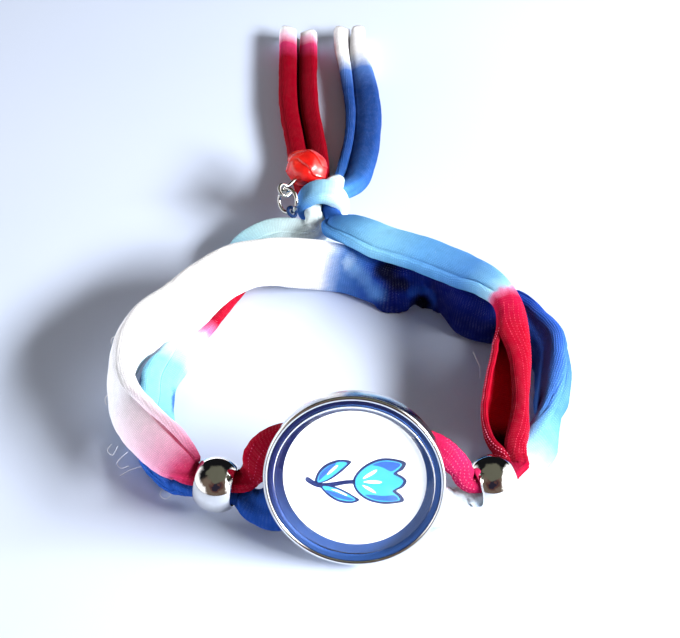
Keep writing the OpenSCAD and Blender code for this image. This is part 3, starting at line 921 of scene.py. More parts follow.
RIGHT_ROWS = [
    tied(1, -END_GAP, -90, 30), tied(1, -1.8, -90, 30), (-0.6, 14.6, 5.9, 3.3, 2.6, -88, 32, 6),
    (-0.1, 11.6, 7.8, 5.4, 2.8, -88, 36, 5), (2.4, 8.5, 9.3, 6, 2.8, -88, 38, 5),
    (5.8, 6, 9.4, 6.4, 2.8, -88, 38, 5), (9.8, 4, 9.5, 6.4, 2.8, -88, 38, 5),
    (13.9, 1.7, 9.5, 6.4, 2.8, -88, 38, 5), (17.6, -0.9, 9.6, 6.5, 2.8, -86, 34, 5),
    (20.8, -4, 10, 5.3, 2.8, -82, 28, 5), (22.9, -7.4, 9.8, 4.2, 2.8, -76, 58, 6),
    (23.4, -11.4, 8.9, 4.4, 3, -74, 70, 14), (23, -16.2, 8, 5.5, 3.2, -76, 50, 44),
    (22.1, -21.6, 7.4, 6.1, 3.6, -76, 41, 57), (21.5, -27, 7.2, 6.3, 4, -78, 40, 58),
    (21.5, -31.2, 7.2, 5.6, 3.5, -80, 42, 46), (22.2, -34, 6.9, 3.6, 2.8, -86, 38, 12),
    bead(False, -BEAD_RUN - 0.8, BEAD_LANE, -90, 50), bead(False, -BEAD_RUN, BEAD_LANE, -90, 60),
    bead(False, BEAD_RUN, BEAD_LANE, -90, 90), cup(12.6, 0.3, -6.9, 3.1, 2.3, -50, 150, 6),
    cup(9.8, 2.5, -6.1, 4.0, 2.4, -28, 180, 6), tunnel(4.8, TUNNEL_LANE, -23, 180),
    tunnel(END_GAP, TUNNEL_LANE, -23, 180)]

LEFT_TAIL_ROWS = [
    tied(-1, END_GAP, 90, 180), tied(-1, 2.5, 90, 180), (-4.4, 24.4, 3.7, 4.4, 2.6, 90, 180, 8),
    (-4.4, 28.4, 2.7, 5.6, 3, 90, 180, 10), (-4.8, 34, 1.85, 6.2, 3.4, 90, 180, 10),
    (-5.6, 41, 1.75, 6.4, 3.4, 90, 180, 10), (-6.5, 48, 1.75, 6.4, 3.4, 90, 180, 10),
    (-6.9, 55, 1.75, 6.4, 3.4, 90, 180, 10), (-7, 63, 1.75, 6.4, 3.4, 90, 180, 10),
    (-7.1, 71.4, 1.75, 6.4, 3.3, 90, 180, 12)]

RIGHT_TAIL_ROWS = [
    tied(1, END_GAP, 90, 165), tied(1, 2.5, 90, 165), (-0.1, 24.6, 4.1, 4, 2.8, 90, 160, 8),
    (1.7, 28.6, 3, 5.4, 3.2, 90, 158, 8), (2.7, 34.4, 1.9, 5.8, 3.4, 90, 156, 8),
    (3.5, 40.6, 1.75, 5.8, 3.4, 90, 155, 8), (3.8, 47, 1.75, 5.8, 3.4, 90, 155, 8),
    (3.4, 53.4, 1.75, 5.8, 3.4, 90, 158, 8), (2.6, 60, 1.75, 5.6, 3.4, 90, 166, 8),
    (1.8, 66, 1.75, 5.4, 3.3, 90, 176, 10), (1.6, 71.4, 1.75, 5.4, 3.2, 90, 185, 12)]

TUCK_ROWS = [
    (-3.2, 20.2, 5.4, 3.4, 2.0, 60, 200, 6), (-1.8, 21.8, 5.9, 3.4, 2.2, 60, 200, 6),
    (-0.7, 23.4, 6.3, 2.8, 2.0, 60, 200, 6), (0.0, 24.5, 6.4, 1.6, 1.4, 60, 200, 8)]


# The ribbon


@dataclass(frozen=True)
class Crease:
    """A ridge, or with a negative height a valley, that runs along part of a ribbon."""

    first: float
    last: float
    start: float
    end: float
    spread: float
    height: float


@dataclass(frozen=True)
class Gather:
    """Lengthwise pleats where the ribbon is squeezed, strongest at one row."""

    row: float
    reach: float
    pleats: int
    depth: float


@dataclass(frozen=True)
class Ripple:
    """Small folds across the ribbon, between two rows and round one angle of the section."""

    first: float
    last: float
    turn: float
    spread: float
    spacing: float
    height: float


# The cloth's own unevenness: waves round the section, waves along it and their share.
WAVES = ((2, 0.55, 0.5), (3, 1.05, 0.35), (5, 0.8, 0.3), (7, 1.7, 0.2), (4, 2.3, 0.18))


def stretch(s: np.ndarray, part: Crease | Ripple, soft: float) -> np.ndarray:
    """Returns 1 between a part's two rows, fading to 0 at both ends over some rows."""
    return np.clip((s - part.first) / soft, 0, 1) * np.clip((part.last - s) / soft, 0, 1)


def turned_from(turn: np.ndarray, middle: Any) -> np.ndarray:
    """Returns how far angles lie from another one, from -180 to 180 degrees."""
    return (turn - middle + 180) % 360 - 180


def units(vectors: np.ndarray) -> np.ndarray:
    """Returns vectors at length 1."""
    return vectors / np.linalg.norm(vectors, axis=1)[:, None]


@dataclass
class Ribbon:
    """A strip of jersey folded into a soft tube with turned-in edges, run through a table."""

    name: str
    node: str
    slot: str
    rows: list[Row]
    finish: DyedJersey
    creases: tuple[Crease, ...] = ()
    gathers: tuple[Gather, ...] = ()
    ripples: tuple[Ripple, ...] = ()
    wall: float = 0.62
    flat_width: float = 16.5
    step: float = 0.42
    around: int = 44
    wrinkle: float = 0.09
    curl: float = 0.3
    lip_turn: float = 125
    dent: float = 0.35
    fullness: float = 1.6
    clearance: float = 0.03
    seed: float = 0.0
    trim: float = 0.0
    hold: Hold = Hold.FOLDED
    guide: tuple[float, float, float] = (0.0, 0.0, 1.0)
    table: np.ndarray = field(init=False)
    arcs: np.ndarray = field(init=False)
    fine: np.ndarray = field(init=False)
    skin: np.ndarray = field(init=False)

    def __post_init__(self) -> None:
        """Measures the ribbon along its table."""
        self.table = np.array(self.rows, float)
        last = len(self.table) - 1
        self.fine = np.linspace(0, last, 60 * last + 1)
        points = catmull(self.table, self.fine)[:, :3]
        steps = np.linalg.norm(np.diff(points, axis=0), axis=1)
        self.arcs = np.concatenate([[0.0], np.cumsum(steps)])

    @property
    def length(self) -> float:
        """Length along the ribbon's middle in millimetres."""
        return float(self.arcs[-1])

    def share_at(self, place: float) -> float:
        """Returns how far along the ribbon a row lies, from 0 to 1."""
        return float(np.interp(place, self.fine, self.arcs) / self.length)

    def relief(self, s: np.ndarray, along: np.ndarray, turn: np.ndarray) -> np.ndarray:
        """Works out how far the cloth stands off its plain section.

        Args:
            s: Places counted in rows, one for each ring, as a column.
            along: The same places in millimetres, as a column.
            turn: Angles round the section in degrees, one row for each ring.

        Returns:
            Heights in millimetres.
        """
        height = np.zeros_like(turn)
        a = np.radians(turn)
        for k, (round_it, along_it, share) in enumerate(WAVES):
            p = self.seed * 1.7 + k * 2.1
            height += (share * np.sin(round_it * a + along_it * along + p)
                       * np.sin(0.31 * along_it * along + 1.3 * p))
        height *= self.wrinkle
        for c in self.creases:
            inside = stretch(s, c, 0.6)
            inside = inside * inside * (3 - 2 * inside)
            middle = c.start + (c.end - c.start) * np.clip((s - c.first) / (c.last - c.first), 0, 1)
            height += c.height * inside * np.exp(-(turned_from(turn, middle) / c.spread) ** 2)
        for g in self.gathers:
            height += g.depth * np.exp(-((s - g.row) / g.reach) ** 2) * np.cos(g.pleats * a)
        for p in self.ripples:
            near = stretch(s, p, 0.5) * np.exp(-(turned_from(turn, p.turn) / p.spread) ** 2)
            wave = np.cos(math.tau * along / p.spacing + 0.8 * np.sin(along * 1.3))
            height += p.height * near * wave
        return height

    def rings(self) -> tuple[np.ndarray, np.ndarray]:
        """Works out the points of the folded cloth.

        Returns:
            The rings as (ring, place, xyz) in metres and their flat places as (ring, place, uv).
        """
        count = max(8, int(round(self.length / self.step)))
        along = np.linspace(0, self.length, count + 1)
        s = np.interp(along, self.arcs, self.fine)
        last = len(self.table) - 1
        r = catmull(self.table, s)
        way = units(catmull(self.table, np.minimum(s + 0.02, last))[:, :3]
                    - catmull(self.table, np.maximum(s - 0.02, 0))[:, :3])
        side = units(np.cross(np.array(self.guide)[None, :], way))
        up = np.cross(way, side)
        roll = np.radians(r[:, 5])[:, None]
        ways = (np.cos(roll) * side - np.sin(roll) * up, np.cos(roll) * up + np.sin(roll) * side)
        width, thick, slit, gap = (r[:, i][:, None] for i in (3, 4, 6, 7))
        turn = slit + gap + (360 - 2 * gap) * np.linspace(0, 1, self.around)[None, :]
        a = np.radians(turn)
        radius = thick / 2 - self.wall / 2
        apart = turned_from(turn, slit)
        q = radius - self.dent * np.exp(-(apart / 32) ** 2) * np.minimum(1, (thick - 2) / 1.2)
        y = (width - thick) / 2 * np.clip(self.fullness * np.sin(a), -1, 1) + radius * np.sin(a)
        line = np.stack([q * np.cos(a), y], -1)
        line = line + self.normals(line) * self.relief(s[:, None], along[:, None], turn)[..., None]
        line = self.with_lips(line)
        out = self.normals(line)
        outer, inner = line + out * self.wall / 2, line - out * self.wall / 2
        self.skin = self.to_space(outer, r, *ways)
        both = np.concatenate([outer, inner[:, ::-1]], axis=1)
        late = np.clip((s - last + 1.2) / 1.2, 0, 1)[:, None] ** 2
        lobe = np.clip(0.5 - both[..., 1] / 1.2, 0, 1)
        short = way[:, None] * (self.trim * late * lobe)[..., None] * MM
        steps = np.linalg.norm(np.diff(line, axis=1), axis=2)
        run = np.concatenate([np.zeros((len(s), 1)), np.cumsum(steps, axis=1)], axis=1)
        run /= run[:, -1:]
        share = np.repeat((along / self.length)[:, None], run.shape[1], 1)
        flat = np.stack([share, run], -1)
        points = self.to_space(both, r, *ways) - short
        points[..., 2] = np.maximum(points[..., 2], self.clearance * MM)
        return points, np.concatenate([flat, flat[:, ::-1]], axis=1)

    @staticmethod
    def to_space(line: np.ndarray, rows: np.ndarray, across: np.ndarray,
                 tall: np.ndarray) -> np.ndarray:
        """Puts flat sections into space, in metres, and returns their points."""
        middle = rows[:, None, :3]
        return home(middle + line[..., :1] * across[:, None] + line[..., 1:] * tall[:, None])

    @staticmethod
    def normals(line: np.ndarray) -> np.ndarray:
        """Finds the outward directions of sections.

        Args:
            line: The sections' points.

        Returns:
            The direction at each point.
        """
        way = np.gradient(line, axis=1)
        way /= np.maximum(np.linalg.norm(way, axis=2), 1e-9)[..., None]
        return np.stack([way[..., 1], -way[..., 0]], -1)

    def with_lips(self, line: np.ndarray) -> np.ndarray:
        """Rolls both free edges of sections inwards.

        Args:
            line: The sections' points.

        Returns:
            The longer sections.
        """
        out = self.normals(line)
        parts = [line]
        angles = np.radians(np.linspace(0, self.lip_turn, 7)[1:])[None, :, None]
        for end, sign in ((0, -1.0), (-1, 1.0)):
            n = out[:, end]
            t = sign * np.stack([-n[:, 1], n[:, 0]], -1)
            centre = line[:, end] - self.curl * n
            roll = (centre[:, None] + self.curl * (n[:, None] * np.cos(angles)
                                                   + t[:, None] * np.sin(angles)))
            parts = [roll[:, ::-1]] + parts if end == 0 else parts + [roll]
        return np.concatenate(parts, axis=1)

    def mesh(self) -> bpy.types.Mesh:
        """Joins the rings into a closed skin, with a strip over the wall at each end.

        Returns:
            The mesh, with its map and with smooth faces that point outwards.
        """
        rings, maps = self.rings()
        count, size = rings.shape[:2]
        j, k = np.arange(count - 1)[:, None] * size, np.arange(size)[None, :]
        nk, h = (k + 1) % size, np.arange(size // 2 - 1)
        sides = np.stack([j + k, j + nk, j + size + nk, j + size + k], -1).reshape(-1, 4)
        cap = np.stack([h, size - 1 - h, size - 2 - h, h + 1], -1)
        quads = np.concatenate([sides, cap, cap[:, ::-1] + (count - 1) * size])
        mesh = bpy.data.meshes.new(self.name)
        mesh.from_pydata(rings.reshape(-1, 3).tolist(), [], quads.tolist())
        layer = mesh.uv_layers.new(name=CLOTH_MAP)
        loops = np.empty(len(mesh.loops), dtype=np.int64)
        mesh.loops.foreach_get("vertex_index", loops)
        layer.data.foreach_set("uv", maps.reshape(-1, 2)[loops].ravel())
        mesh.polygons.foreach_set("use_smooth", [True] * len(mesh.polygons))
        mesh.update()
        bm = bmesh.new()
        bm.from_mesh(mesh)
        bmesh.ops.recalc_face_normals(bm, faces=bm.faces)
        bm.to_mesh(mesh)
        bm.free()
        return mesh

    def make(self) -> bpy.types.Object:
        """Builds the ribbon and dresses it.

        Returns:
            The piece.
        """
        made = dressed_piece(self.mesh(), self.finish.material(self))
        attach(made, "root")
        return made

    def build(self, extras: Sequence[bpy.types.Object] = ()) -> None:
        """Builds the ribbon in place of its node.

        Args:
            extras: Not used.
        """
        made = self.make()
        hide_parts(self.node)
        LOG.info("%s: %.1f mm long, %.1f mm wide when flat", self.name, self.length,
                 self.flat_width)

    def between(self, first: float, last: float) -> np.ndarray:
        """Finds the outer face between two rows.

        Args:
            first: The first row.
            last: The last row.

        Returns:
            Its points as (ring, place, xyz).
        """
        count = len(self.skin)
        s = np.interp(np.arange(count) / (count - 1) * self.length, self.arcs, self.fine)
        return self.skin[(s >= first) & (s <= last)]

    def patch(self, first: float, last: float) -> bpy.types.Mesh:
        """Copies the outer face between two rows, for fibres to grow on.

        Args:
            first: The first row.
            last: The last row.

        Returns:
            The mesh.
        """
        chosen = self.between(first, last)
        n, size = chosen.shape[:2]
        quads = [(j * size + k, (j + 1) * size + k, (j + 1) * size + k + 1, j * size + k + 1)
                 for j in range(n - 1) for k in range(size - 1)]
        mesh = bpy.data.meshes.new(self.name + "_face")
        mesh.from_pydata(chosen.reshape(-1, 3).tolist(), [], quads)
        return mesh


# Colours of the cloth


WHITE = (240, 240, 243)
GREY_WHITE = (234, 234, 240)
CRIMSON = (158, 4, 36)
DEEP_RED = (112, 2, 24)
ROSE_PINK = (230, 104, 150)
PALE_PINK = (240, 192, 216)
NAVY = (6, 12, 78)
BLACK_NAVY = (3, 4, 26)
MID_BLUE = (44, 88, 176)
SKY = (100, 158, 212)
CYAN = (128, 196, 218)
PALE_CYAN = (176, 220, 236)

LONG_FINISH = DyedJersey("Jersey red white blue", (
    (0, DEEP_RED), (4.6, CRIMSON), (5.9, CRIMSON), (6.5, (210, 44, 96)), (7.0, ROSE_PINK),
    (7.5, (250, 168, 204)), (8.2, (250, 200, 224)), (9, (246, 222, 236)), (10.2, GREY_WHITE),
    (14, WHITE), (19.6, WHITE), (19.95, (150, 176, 220)), (20.3, (84, 130, 200)),
    (21.4, (62, 110, 192)), (22.2, (30, 66, 160)), (23, NAVY), (24.5, (18, 44, 140)), (26, NAVY),
    (29, (10, 26, 110)), (31, (26, 62, 156)), (34.5, (60, 108, 200)), (36.4, (76, 130, 212)),
    (37.2, (104, 162, 220)), (38.0, (150, 198, 230)), (39.0, (206, 228, 242)),
    (46, (226, 234, 244))),
    # Painted highlight: the light blue patches from row 20.7 to 22.3 along the lit ridge of the
    # blue fold. Painted shade: the black-navy patches in its valleys.
    dye_and_light_patches=(DyeAndLightPatch(20.7, 0.17, 0.35, 0.06, (176, 206, 234), 0.7, 0.7),
            DyeAndLightPatch(21.2, 0.22, 0.35, 0.07, (120, 168, 220), 0.7, 0.7),
            DyeAndLightPatch(21.8, 0.28, 0.35, 0.07, (104, 154, 214), 0.6, 0.7),
            DyeAndLightPatch(22.3, 0.37, 0.4, 0.08, (92, 146, 212), 0.7, 0.7),
            DyeAndLightPatch(22.7, 0.15, 0.7, 0.08, BLACK_NAVY, 0.95, 0.6),
            DyeAndLightPatch(23.4, 0.24, 0.6, 0.07, BLACK_NAVY, 0.85, 0.6),
            # Painted light: the royal patches on the next ridges. Painted shade: the black-navy
            # patch at row 25 in the valley between them.
            DyeAndLightPatch(24.3, 0.33, 0.5, 0.06, (36, 82, 182), 0.75, 0.7),
            DyeAndLightPatch(25.2, 0.31, 0.5, 0.05, (34, 80, 178), 0.7, 0.7),
            DyeAndLightPatch(26.0, 0.38, 0.4, 0.09, (30, 72, 168), 0.7, 0.7),
            DyeAndLightPatch(25.0, 0.44, 0.9, 0.08, BLACK_NAVY, 1.0, 0.5),
            DyeAndLightPatch(7.3, 0.035, 1.3, 0.035, (196, 40, 86), 0.85, 0.8),
            # Painted shade: the navy patches in the crease at row 31.6 and beside the red strand at
            # row 36.1.
            DyeAndLightPatch(31.6, 0.36, 3.2, 0.15, (6, 12, 70), 0.95, 0.5),
            DyeAndLightPatch(36.1, 0.20, 0.7, 0.09, (8, 16, 84), 0.95, 0.6)), stitch_highlight=0.4)
LEFT_FINISH = DyedJersey("Jersey blue and pale cyan", (
    (0, (24, 62, 140)), (4, (30, 74, 160)), (7.4, (34, 82, 172)), (9.0, (40, 92, 180)),
    (9.8, SKY), (10.4, CYAN), (12.6, CYAN), (13.3, (200, 228, 236)), (13.7, WHITE),
    (14.1, (236, 220, 232)), (14.5, (216, 110, 156)), (14.9, CRIMSON), (16.4, CRIMSON),
    (17.2, (150, 5, 40)), (17.8, (150, 200, 220)), (18.4, (186, 230, 240)),
    (20, (236, 252, 254)), (23, (236, 252, 254))),
    dye_and_light_patches=(DyeAndLightPatch(11.2, 0.24, 0.6, 0.04, (34, 76, 170), 0.85, 0.6),
            DyeAndLightPatch(11.6, 0.72, 0.5, 0.06, NAVY, 0.9, 0.5)), stitch_highlight=0.4)
RIGHT_FINISH = DyedJersey("Jersey blue to red", (
    (0, MID_BLUE), (2.6, (50, 104, 184)), (3.6, (84, 148, 210)), (5, (126, 190, 226)),
    (6.4, (90, 152, 208)), (8.2, (76, 132, 196)), (9.0, (110, 168, 214)),
    (9.5, (150, 200, 228)), (9.72, (206, 110, 150)), (10.0, (176, 16, 60)), (11.2, CRIMSON),
    (16.5, (140, 2, 32)), (18, (150, 14, 56)), (20.2, (184, 30, 84)), (21.6, (150, 12, 50)),
    (23, DEEP_RED)),
    # Painted light: the bright red patch inside the open channel, for light that bounces off its
    # red walls. Painted shade: the dark red patch on the right lobe beside the slit and the
    # near-black one in the hollow.
    dye_and_light_patches=(DyeAndLightPatch(13.4, 0.38, 3.2, 0.3, (206, 8, 40), 0.9, 0.6),
            DyeAndLightPatch(13.6, 1.0, 3.4, 0.09, (92, 0, 14), 0.85, 0.9),
            DyeAndLightPatch(14.9, 0.34, 0.9, 0.26, (20, 0, 3), 0.97, 0.7)), stitch_highlight=0.28)
LEFT_TAIL_FINISH = DyedJersey("Jersey red tail", (
    (0, CYAN), (1.3, DEEP_RED), (2.4, (118, 0, 16)), (7.9, (130, 0, 24)),
    (8.35, (190, 50, 98)), (8.65, PALE_PINK), (8.85, WHITE), (9, WHITE)), stitch_highlight=0.12)
RIGHT_TAIL_FINISH = DyedJersey("Jersey blue tail", (
    (0, SKY), (1.8, (66, 124, 196)), (3.0, (42, 88, 158)), (4.4, (30, 66, 132)),
    (7.0, (30, 64, 130)), (7.8, (76, 114, 186)), (8.2, (200, 210, 230)), (8.6, WHITE),
    (10, WHITE)), stitch_highlight=0.4)
# Round the wrap the colour runs pale over its right side and darker blue round its left: painted
# light and shade, with the window on the right.
KNOT_FINISH = DyedJersey("Jersey sky blue", (
    (0, PALE_CYAN), (4.3, (220, 236, 243)), (6.5, (196, 228, 240)), (8.5, (140, 196, 226)),
    (10.5, (84, 142, 206)), (12.3, (60, 108, 184)), (16, (60, 104, 178))))
TUCK_FINISH = DyedJersey("Jersey tuck", ((0, SKY), (1.5, PALE_CYAN), (3, (214, 236, 242))))
# The loop's dark navy is painted shade where the jump ring goes into the knot.
SHADED_LOOP_FINISH = DyedJersey("Jersey loop", ((0, (26, 48, 88)), (16, (26, 48, 88))))


# Sub-assemblies


@dataclass
class Medallion:
    """The round slider: a turned cup with a rolled rim, a printed card, a glass and a tunnel."""

    outer: float = LEAN.cup_d / 2
    depth: float = LEAN.cup_depth
    floor: float = 0.8
    rim: float = 0.32
    seat: float = 10.12
    glass_radius: float = 9.98
    glass_edge: float = 1.7
    glass_height: float = 3.0
    card: float = 0.25
    ring_outer: float = 9.94
    ring_inner: float = 8.72
    tunnel_long: float = 9.0
    tunnel_high: float = 13.6
    tunnel_corner: float = 0.5
    tunnel_gap: float = LEAN.tunnel_gap
    metal: float = 0.9
    chamfer: float = 0.12
    print_scale: float = 0.98
    print_lift: float = 0.012

    def cup_profile(self) -> Line:
        """Draws the cup.

        Returns:
            Its profile from the middle of the back to the middle of the floor.
        """
        inside = -self.depth + self.floor
        return ([(0.0, -self.depth), (self.outer - 0.25 - 0.35, -self.depth)]
                + arc((self.outer - 0.55, -self.depth + 0.3), 0.3, -80, 0, 6)
                + [(self.outer - 0.3, -self.rim - 0.75)]
                + arc((self.outer - self.rim, -self.rim), self.rim, -35, 175, 22)
                + [(self.seat + 0.22, -self.rim - 0.2), (self.seat + 0.05, -0.8),
                   (self.seat, -1.0), (self.seat, inside + 0.12),
                   (self.seat - 0.12, inside), (5.0, inside), (0.0, inside)])

    def tunnel_rings(self) -> list[list[tuple[float, float, float]]]:
        """Draws the tunnel's wall, open towards the cup, with its edges broken.

        Returns:
            Rings of points, in millimetres, each one round the wall's outside and inside.
        """
        high, half, corner = self.tunnel_high / 2, self.tunnel_long / 2, self.tunnel_corner
        back, loops = -self.depth - self.tunnel_gap, []
        for grown, top in ((0.0, -self.depth), (self.metal, -self.depth + 0.15)):
            side, low, r = high + grown, back - grown, corner + grown
            loops.append([(side, top)] + arc((side - r, low + r), r, 0, -90, 7)
                         + arc((-side + r, low + r), r, -90, -180, 7) + [(-side, top)])
        inner, outer = loops
        last = len(outer) - 1
        rings = []
        for x, inset in ((-half, self.chamfer), (-half + self.chamfer, 0.0),
                         (half - self.chamfer, 0.0), (half, self.chamfer)):
            drawn = [(x, u * (1 - inset / (high + self.metal)), v + (inset if 0 < i < last else 0))
                     for i, (u, v) in enumerate(outer)]
            rings.append(drawn + [(x, u * (1 + inset / 7.0), v) for u, v in reversed(inner)])
        return rings

    def build_setting(self, alloy: bpy.types.Material) -> None:
        """Builds the cup and the tunnel behind it as one piece.

        Args:
            alloy: The finish.
        """
        place = LEAN.matrix()
        mesh = turned_mesh("setting_metal", self.cup_profile(), place, 160)
        bm = bmesh.new()
        bm.from_mesh(mesh)
        cup_faces = len(bm.faces)
        rings = [[bm.verts.new(place @ Vector([c * MM for c in p])) for p in ring]
                 for ring in self.tunnel_rings()]
        size = len(rings[0])
        for low, high in zip(rings, rings[1:]):
            for k in range(size):
                n = (k + 1) % size
                bm.faces.new((low[k], low[n], high[n], high[k]))
        for ring in (rings[0], rings[-1]):
            for k in range(size // 2 - 1):
                bm.faces.new((ring[k], ring[k + 1], ring[size - 2 - k], ring[size - 1 - k]))
        bm.faces.ensure_lookup_table()
        bmesh.ops.recalc_face_normals(bm, faces=bm.faces[cup_faces:])
        for face in bm.faces:
            face.smooth = True
        bm.to_mesh(mesh)
        bm.free()
        made = dressed_piece(mesh, alloy)
        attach(made, "root")
        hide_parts("setting")

    def build_glass(self, glass: bpy.types.Material) -> None:
        """Builds the cabochon.

        Args:
            glass: The finish.
        """
        low = -self.depth + self.floor + self.card + 0.1
        rise = self.glass_height - self.glass_edge
        r = self.glass_radius
        dome = (r * r + rise * rise) / (2 * rise)
        side = math.degrees(math.asin(r / dome))
        crown = arc((0.0, low + self.glass_height - dome), dome, 90 - side, 90, 40)
        profile = ([(0.0, low), (r - 0.15, low), (r, low + 0.15), (r, low + self.glass_edge - 0.08)]
                   + crown[1:-1] + [(0.0, low + self.glass_height)])
        made = dressed_piece(turned_mesh("cabochon_glass", profile, LEAN.matrix()), glass)
        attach(made, "root")
        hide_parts("cabochon")

    # The sprig on the card, in millimetres: layer, ink, then the outline's points.
    SPRIG = (
        (1, "line", [(-6.1, -0.5), (-4.6, -1.2), (-2.9, -1.0), (-1.1, -0.5), (0.4, -0.3),
                     (0.4, 0.15), (-1.2, 0.0), (-3.0, -0.4), (-4.6, -0.55), (-5.9, 0.1)]),
        (1, "line", [(-4.9, -0.7), (-4.7, 0.7), (-3.7, 1.9), (-2.1, 2.6), (-0.6, 2.5), (-1.1, 1.7),
                     (-2.0, 0.8), (-3.3, -0.2)]),
        (2, "azure", [(-4.6, -0.5), (-4.4, 0.6), (-3.5, 1.6), (-2.1, 2.3), (-1.1, 2.25),
                      (-1.5, 1.7), (-2.4, 0.8), (-3.5, -0.1)]),
        (3, "royal", [(-4.5, -0.3), (-4.3, 0.65), (-3.4, 1.6), (-2.4, 2.15), (-3.2, 1.1),
                      (-3.9, 0.3)]),
        (1, "line", [(-4.4, -0.8), (-3.6, -1.9), (-2.2, -2.8), (-0.6, -3.0), (0.6, -2.5),
                     (-0.2, -1.9), (-1.6, -1.2), (-3.0, -0.8)]),
        (2, "azure", [(-4.0, -1.0), (-3.4, -1.7), (-2.1, -2.5), (-0.6, -2.7), (0.1, -2.45),
                      (-0.5, -2.0), (-1.7, -1.4), (-3.0, -1.0)]),
        (3, "royal", [(-3.6, -1.5), (-2.3, -2.3), (-0.6, -2.6), (-0.1, -2.4), (-1.3, -2.0),
                      (-2.6, -1.6)]),
        (1, "line", [(-0.3, 0.0), (0.2, -1.4), (1.5, -2.4), (3.2, -2.8), (4.9, -2.7), (6.1, -2.3),
                     (5.7, -1.5), (5.1, -1.0), (5.9, -0.5), (6.3, 0.3), (5.8, 0.9), (5.1, 1.3),
                     (5.8, 1.8), (6.1, 2.7), (4.8, 3.1), (3.1, 3.1), (1.5, 2.4), (0.3, 1.3)]),
        (2, "azure", [(0.0, 0.0), (0.4, -1.2), (1.6, -2.1), (3.2, -2.5), (4.8, -2.4), (5.6, -2.15),
                      (5.2, -1.6), (4.6, -1.05), (5.5, -0.4), (5.9, 0.3), (5.4, 0.75), (4.6, 1.2),
                      (5.3, 1.9), (5.6, 2.5), (4.7, 2.8), (3.2, 2.8), (1.7, 2.15), (0.6, 1.2)]),
        (3, "royal", [(2.0, 2.2), (3.2, 2.7), (4.7, 2.7), (5.45, 2.45), (5.0, 1.9), (4.3, 1.5),
                      (3.4, 1.9), (2.6, 2.1)]),
        (3, "royal", [(1.3, -1.75), (2.6, -2.3), (4.6, -2.35), (5.35, -2.1), (4.8, -1.6),
                      (3.6, -1.75), (2.4, -1.7)]),
        (4, "white", [(0.9, 0.35), (1.5, 0.55), (2.4, 1.2), (2.6, 1.6), (2.2, 1.5), (1.4, 0.95)]),
        (4, "white", [(1.0, -0.05), (1.8, -0.2), (2.9, -0.15), (3.3, 0.05), (2.8, 0.2),
                      (1.8, 0.2)]),
        (4, "white", [(0.9, -0.5), (1.4, -0.95), (2.2, -1.35), (2.6, -1.4), (2.3, -1.05),
                      (1.6, -0.65)]),
        (4, "white", [(-3.5, 0.55), (-2.9, 0.95), (-2.3, 1.6), (-2.2, 1.9), (-2.6, 1.7),
                      (-3.2, 1.1)]),
        (4, "white", [(-2.9, -1.3), (-2.1, -1.6), (-1.2, -1.95), (-0.9, -1.95), (-1.3, -1.65),
                      (-2.2, -1.3)]),
    )

    def build_card(self, inks: dict[str, bpy.types.Material]) -> None:
        """Builds the printed card under the glass, with a sleeve of ring ink up the cup's inner
        wall, a painted reflection of the printed ring.

        Args:
            inks: The finishes by the names card, ring, line, azure, royal and white.
        """
        low = -self.depth + self.floor + 0.05
        top = low + self.card
        order = list(inks)
        bm = bmesh.new()
        bm.loops.layers.uv.new(CLOTH_MAP)
        disc = [(0.0, low), (9.93, low), (9.96, top), (0.0, top)]
        ring = [(self.ring_inner, top + 0.002), (self.ring_outer, top + 0.002),
                (self.ring_outer, top + 0.012), (self.ring_inner, top + 0.012)]
        # The sleeve of ring ink up the cup's inner wall, to under the rim, is a painted reflection
        # of the printed ring.
        ring_reflection_sleeve = [(10.0, top), (10.1, top), (10.1, -1.0), (10.15, -0.8), (10.32, -0.48),
                  (10.64, -0.26), (10.62, -0.18), (10.26, -0.38), (10.04, -0.72)]
        for ink, profile in (("card", disc), ("ring", ring), ("ring", ring_reflection_sleeve)):
            first = len(bm.faces)
            bm.from_mesh(turned_mesh("card_part", profile, FLAT))
            bm.faces.ensure_lookup_table()
            for face in bm.faces[first:]:
                face.material_index = order.index(ink)
        for layer, ink, outline in self.SPRIG:
            closed = np.array(outline[-1:] + outline + outline[:2], float)
            smooth = catmull(closed, np.arange(1, len(outline) + 1, 0.25)[:len(outline) * 4])
            height = (top + 0.004 + self.print_lift * layer) * MM
            verts = [bm.verts.new((x * MM * self.print_scale + 0.0001, y * MM - 0.0002, height))
                     for x, y in smooth]
            raised = bmesh.ops.extrude_face_region(bm, geom=[bm.faces.new(verts)])
            down = [v for v in raised["geom"] if isinstance(v, bmesh.types.BMVert)]
            for v in down:
                v.co.z -= 0.000011
            block = {f for v in verts + down for f in v.link_faces}
            bmesh.ops.recalc_face_normals(bm, faces=list(block))
            for f in block:
                f.material_index = order.index(ink)
        map_from_front(bm)
        for face in bm.faces:
            face.smooth = False
        bmesh.ops.triangulate(bm, faces=[f for f in bm.faces if len(f.verts) > 4])
        bm.transform(LEAN.matrix())
        mesh = finished(bm, "picture_card")
        for ink in order:
            mesh.materials.append(inks[ink])
        made = new_object("picture_card", mesh)
        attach(made, "root")
        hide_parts("picture_disc")
        LOG.info("%s: %d faces", made.name, len(mesh.polygons))


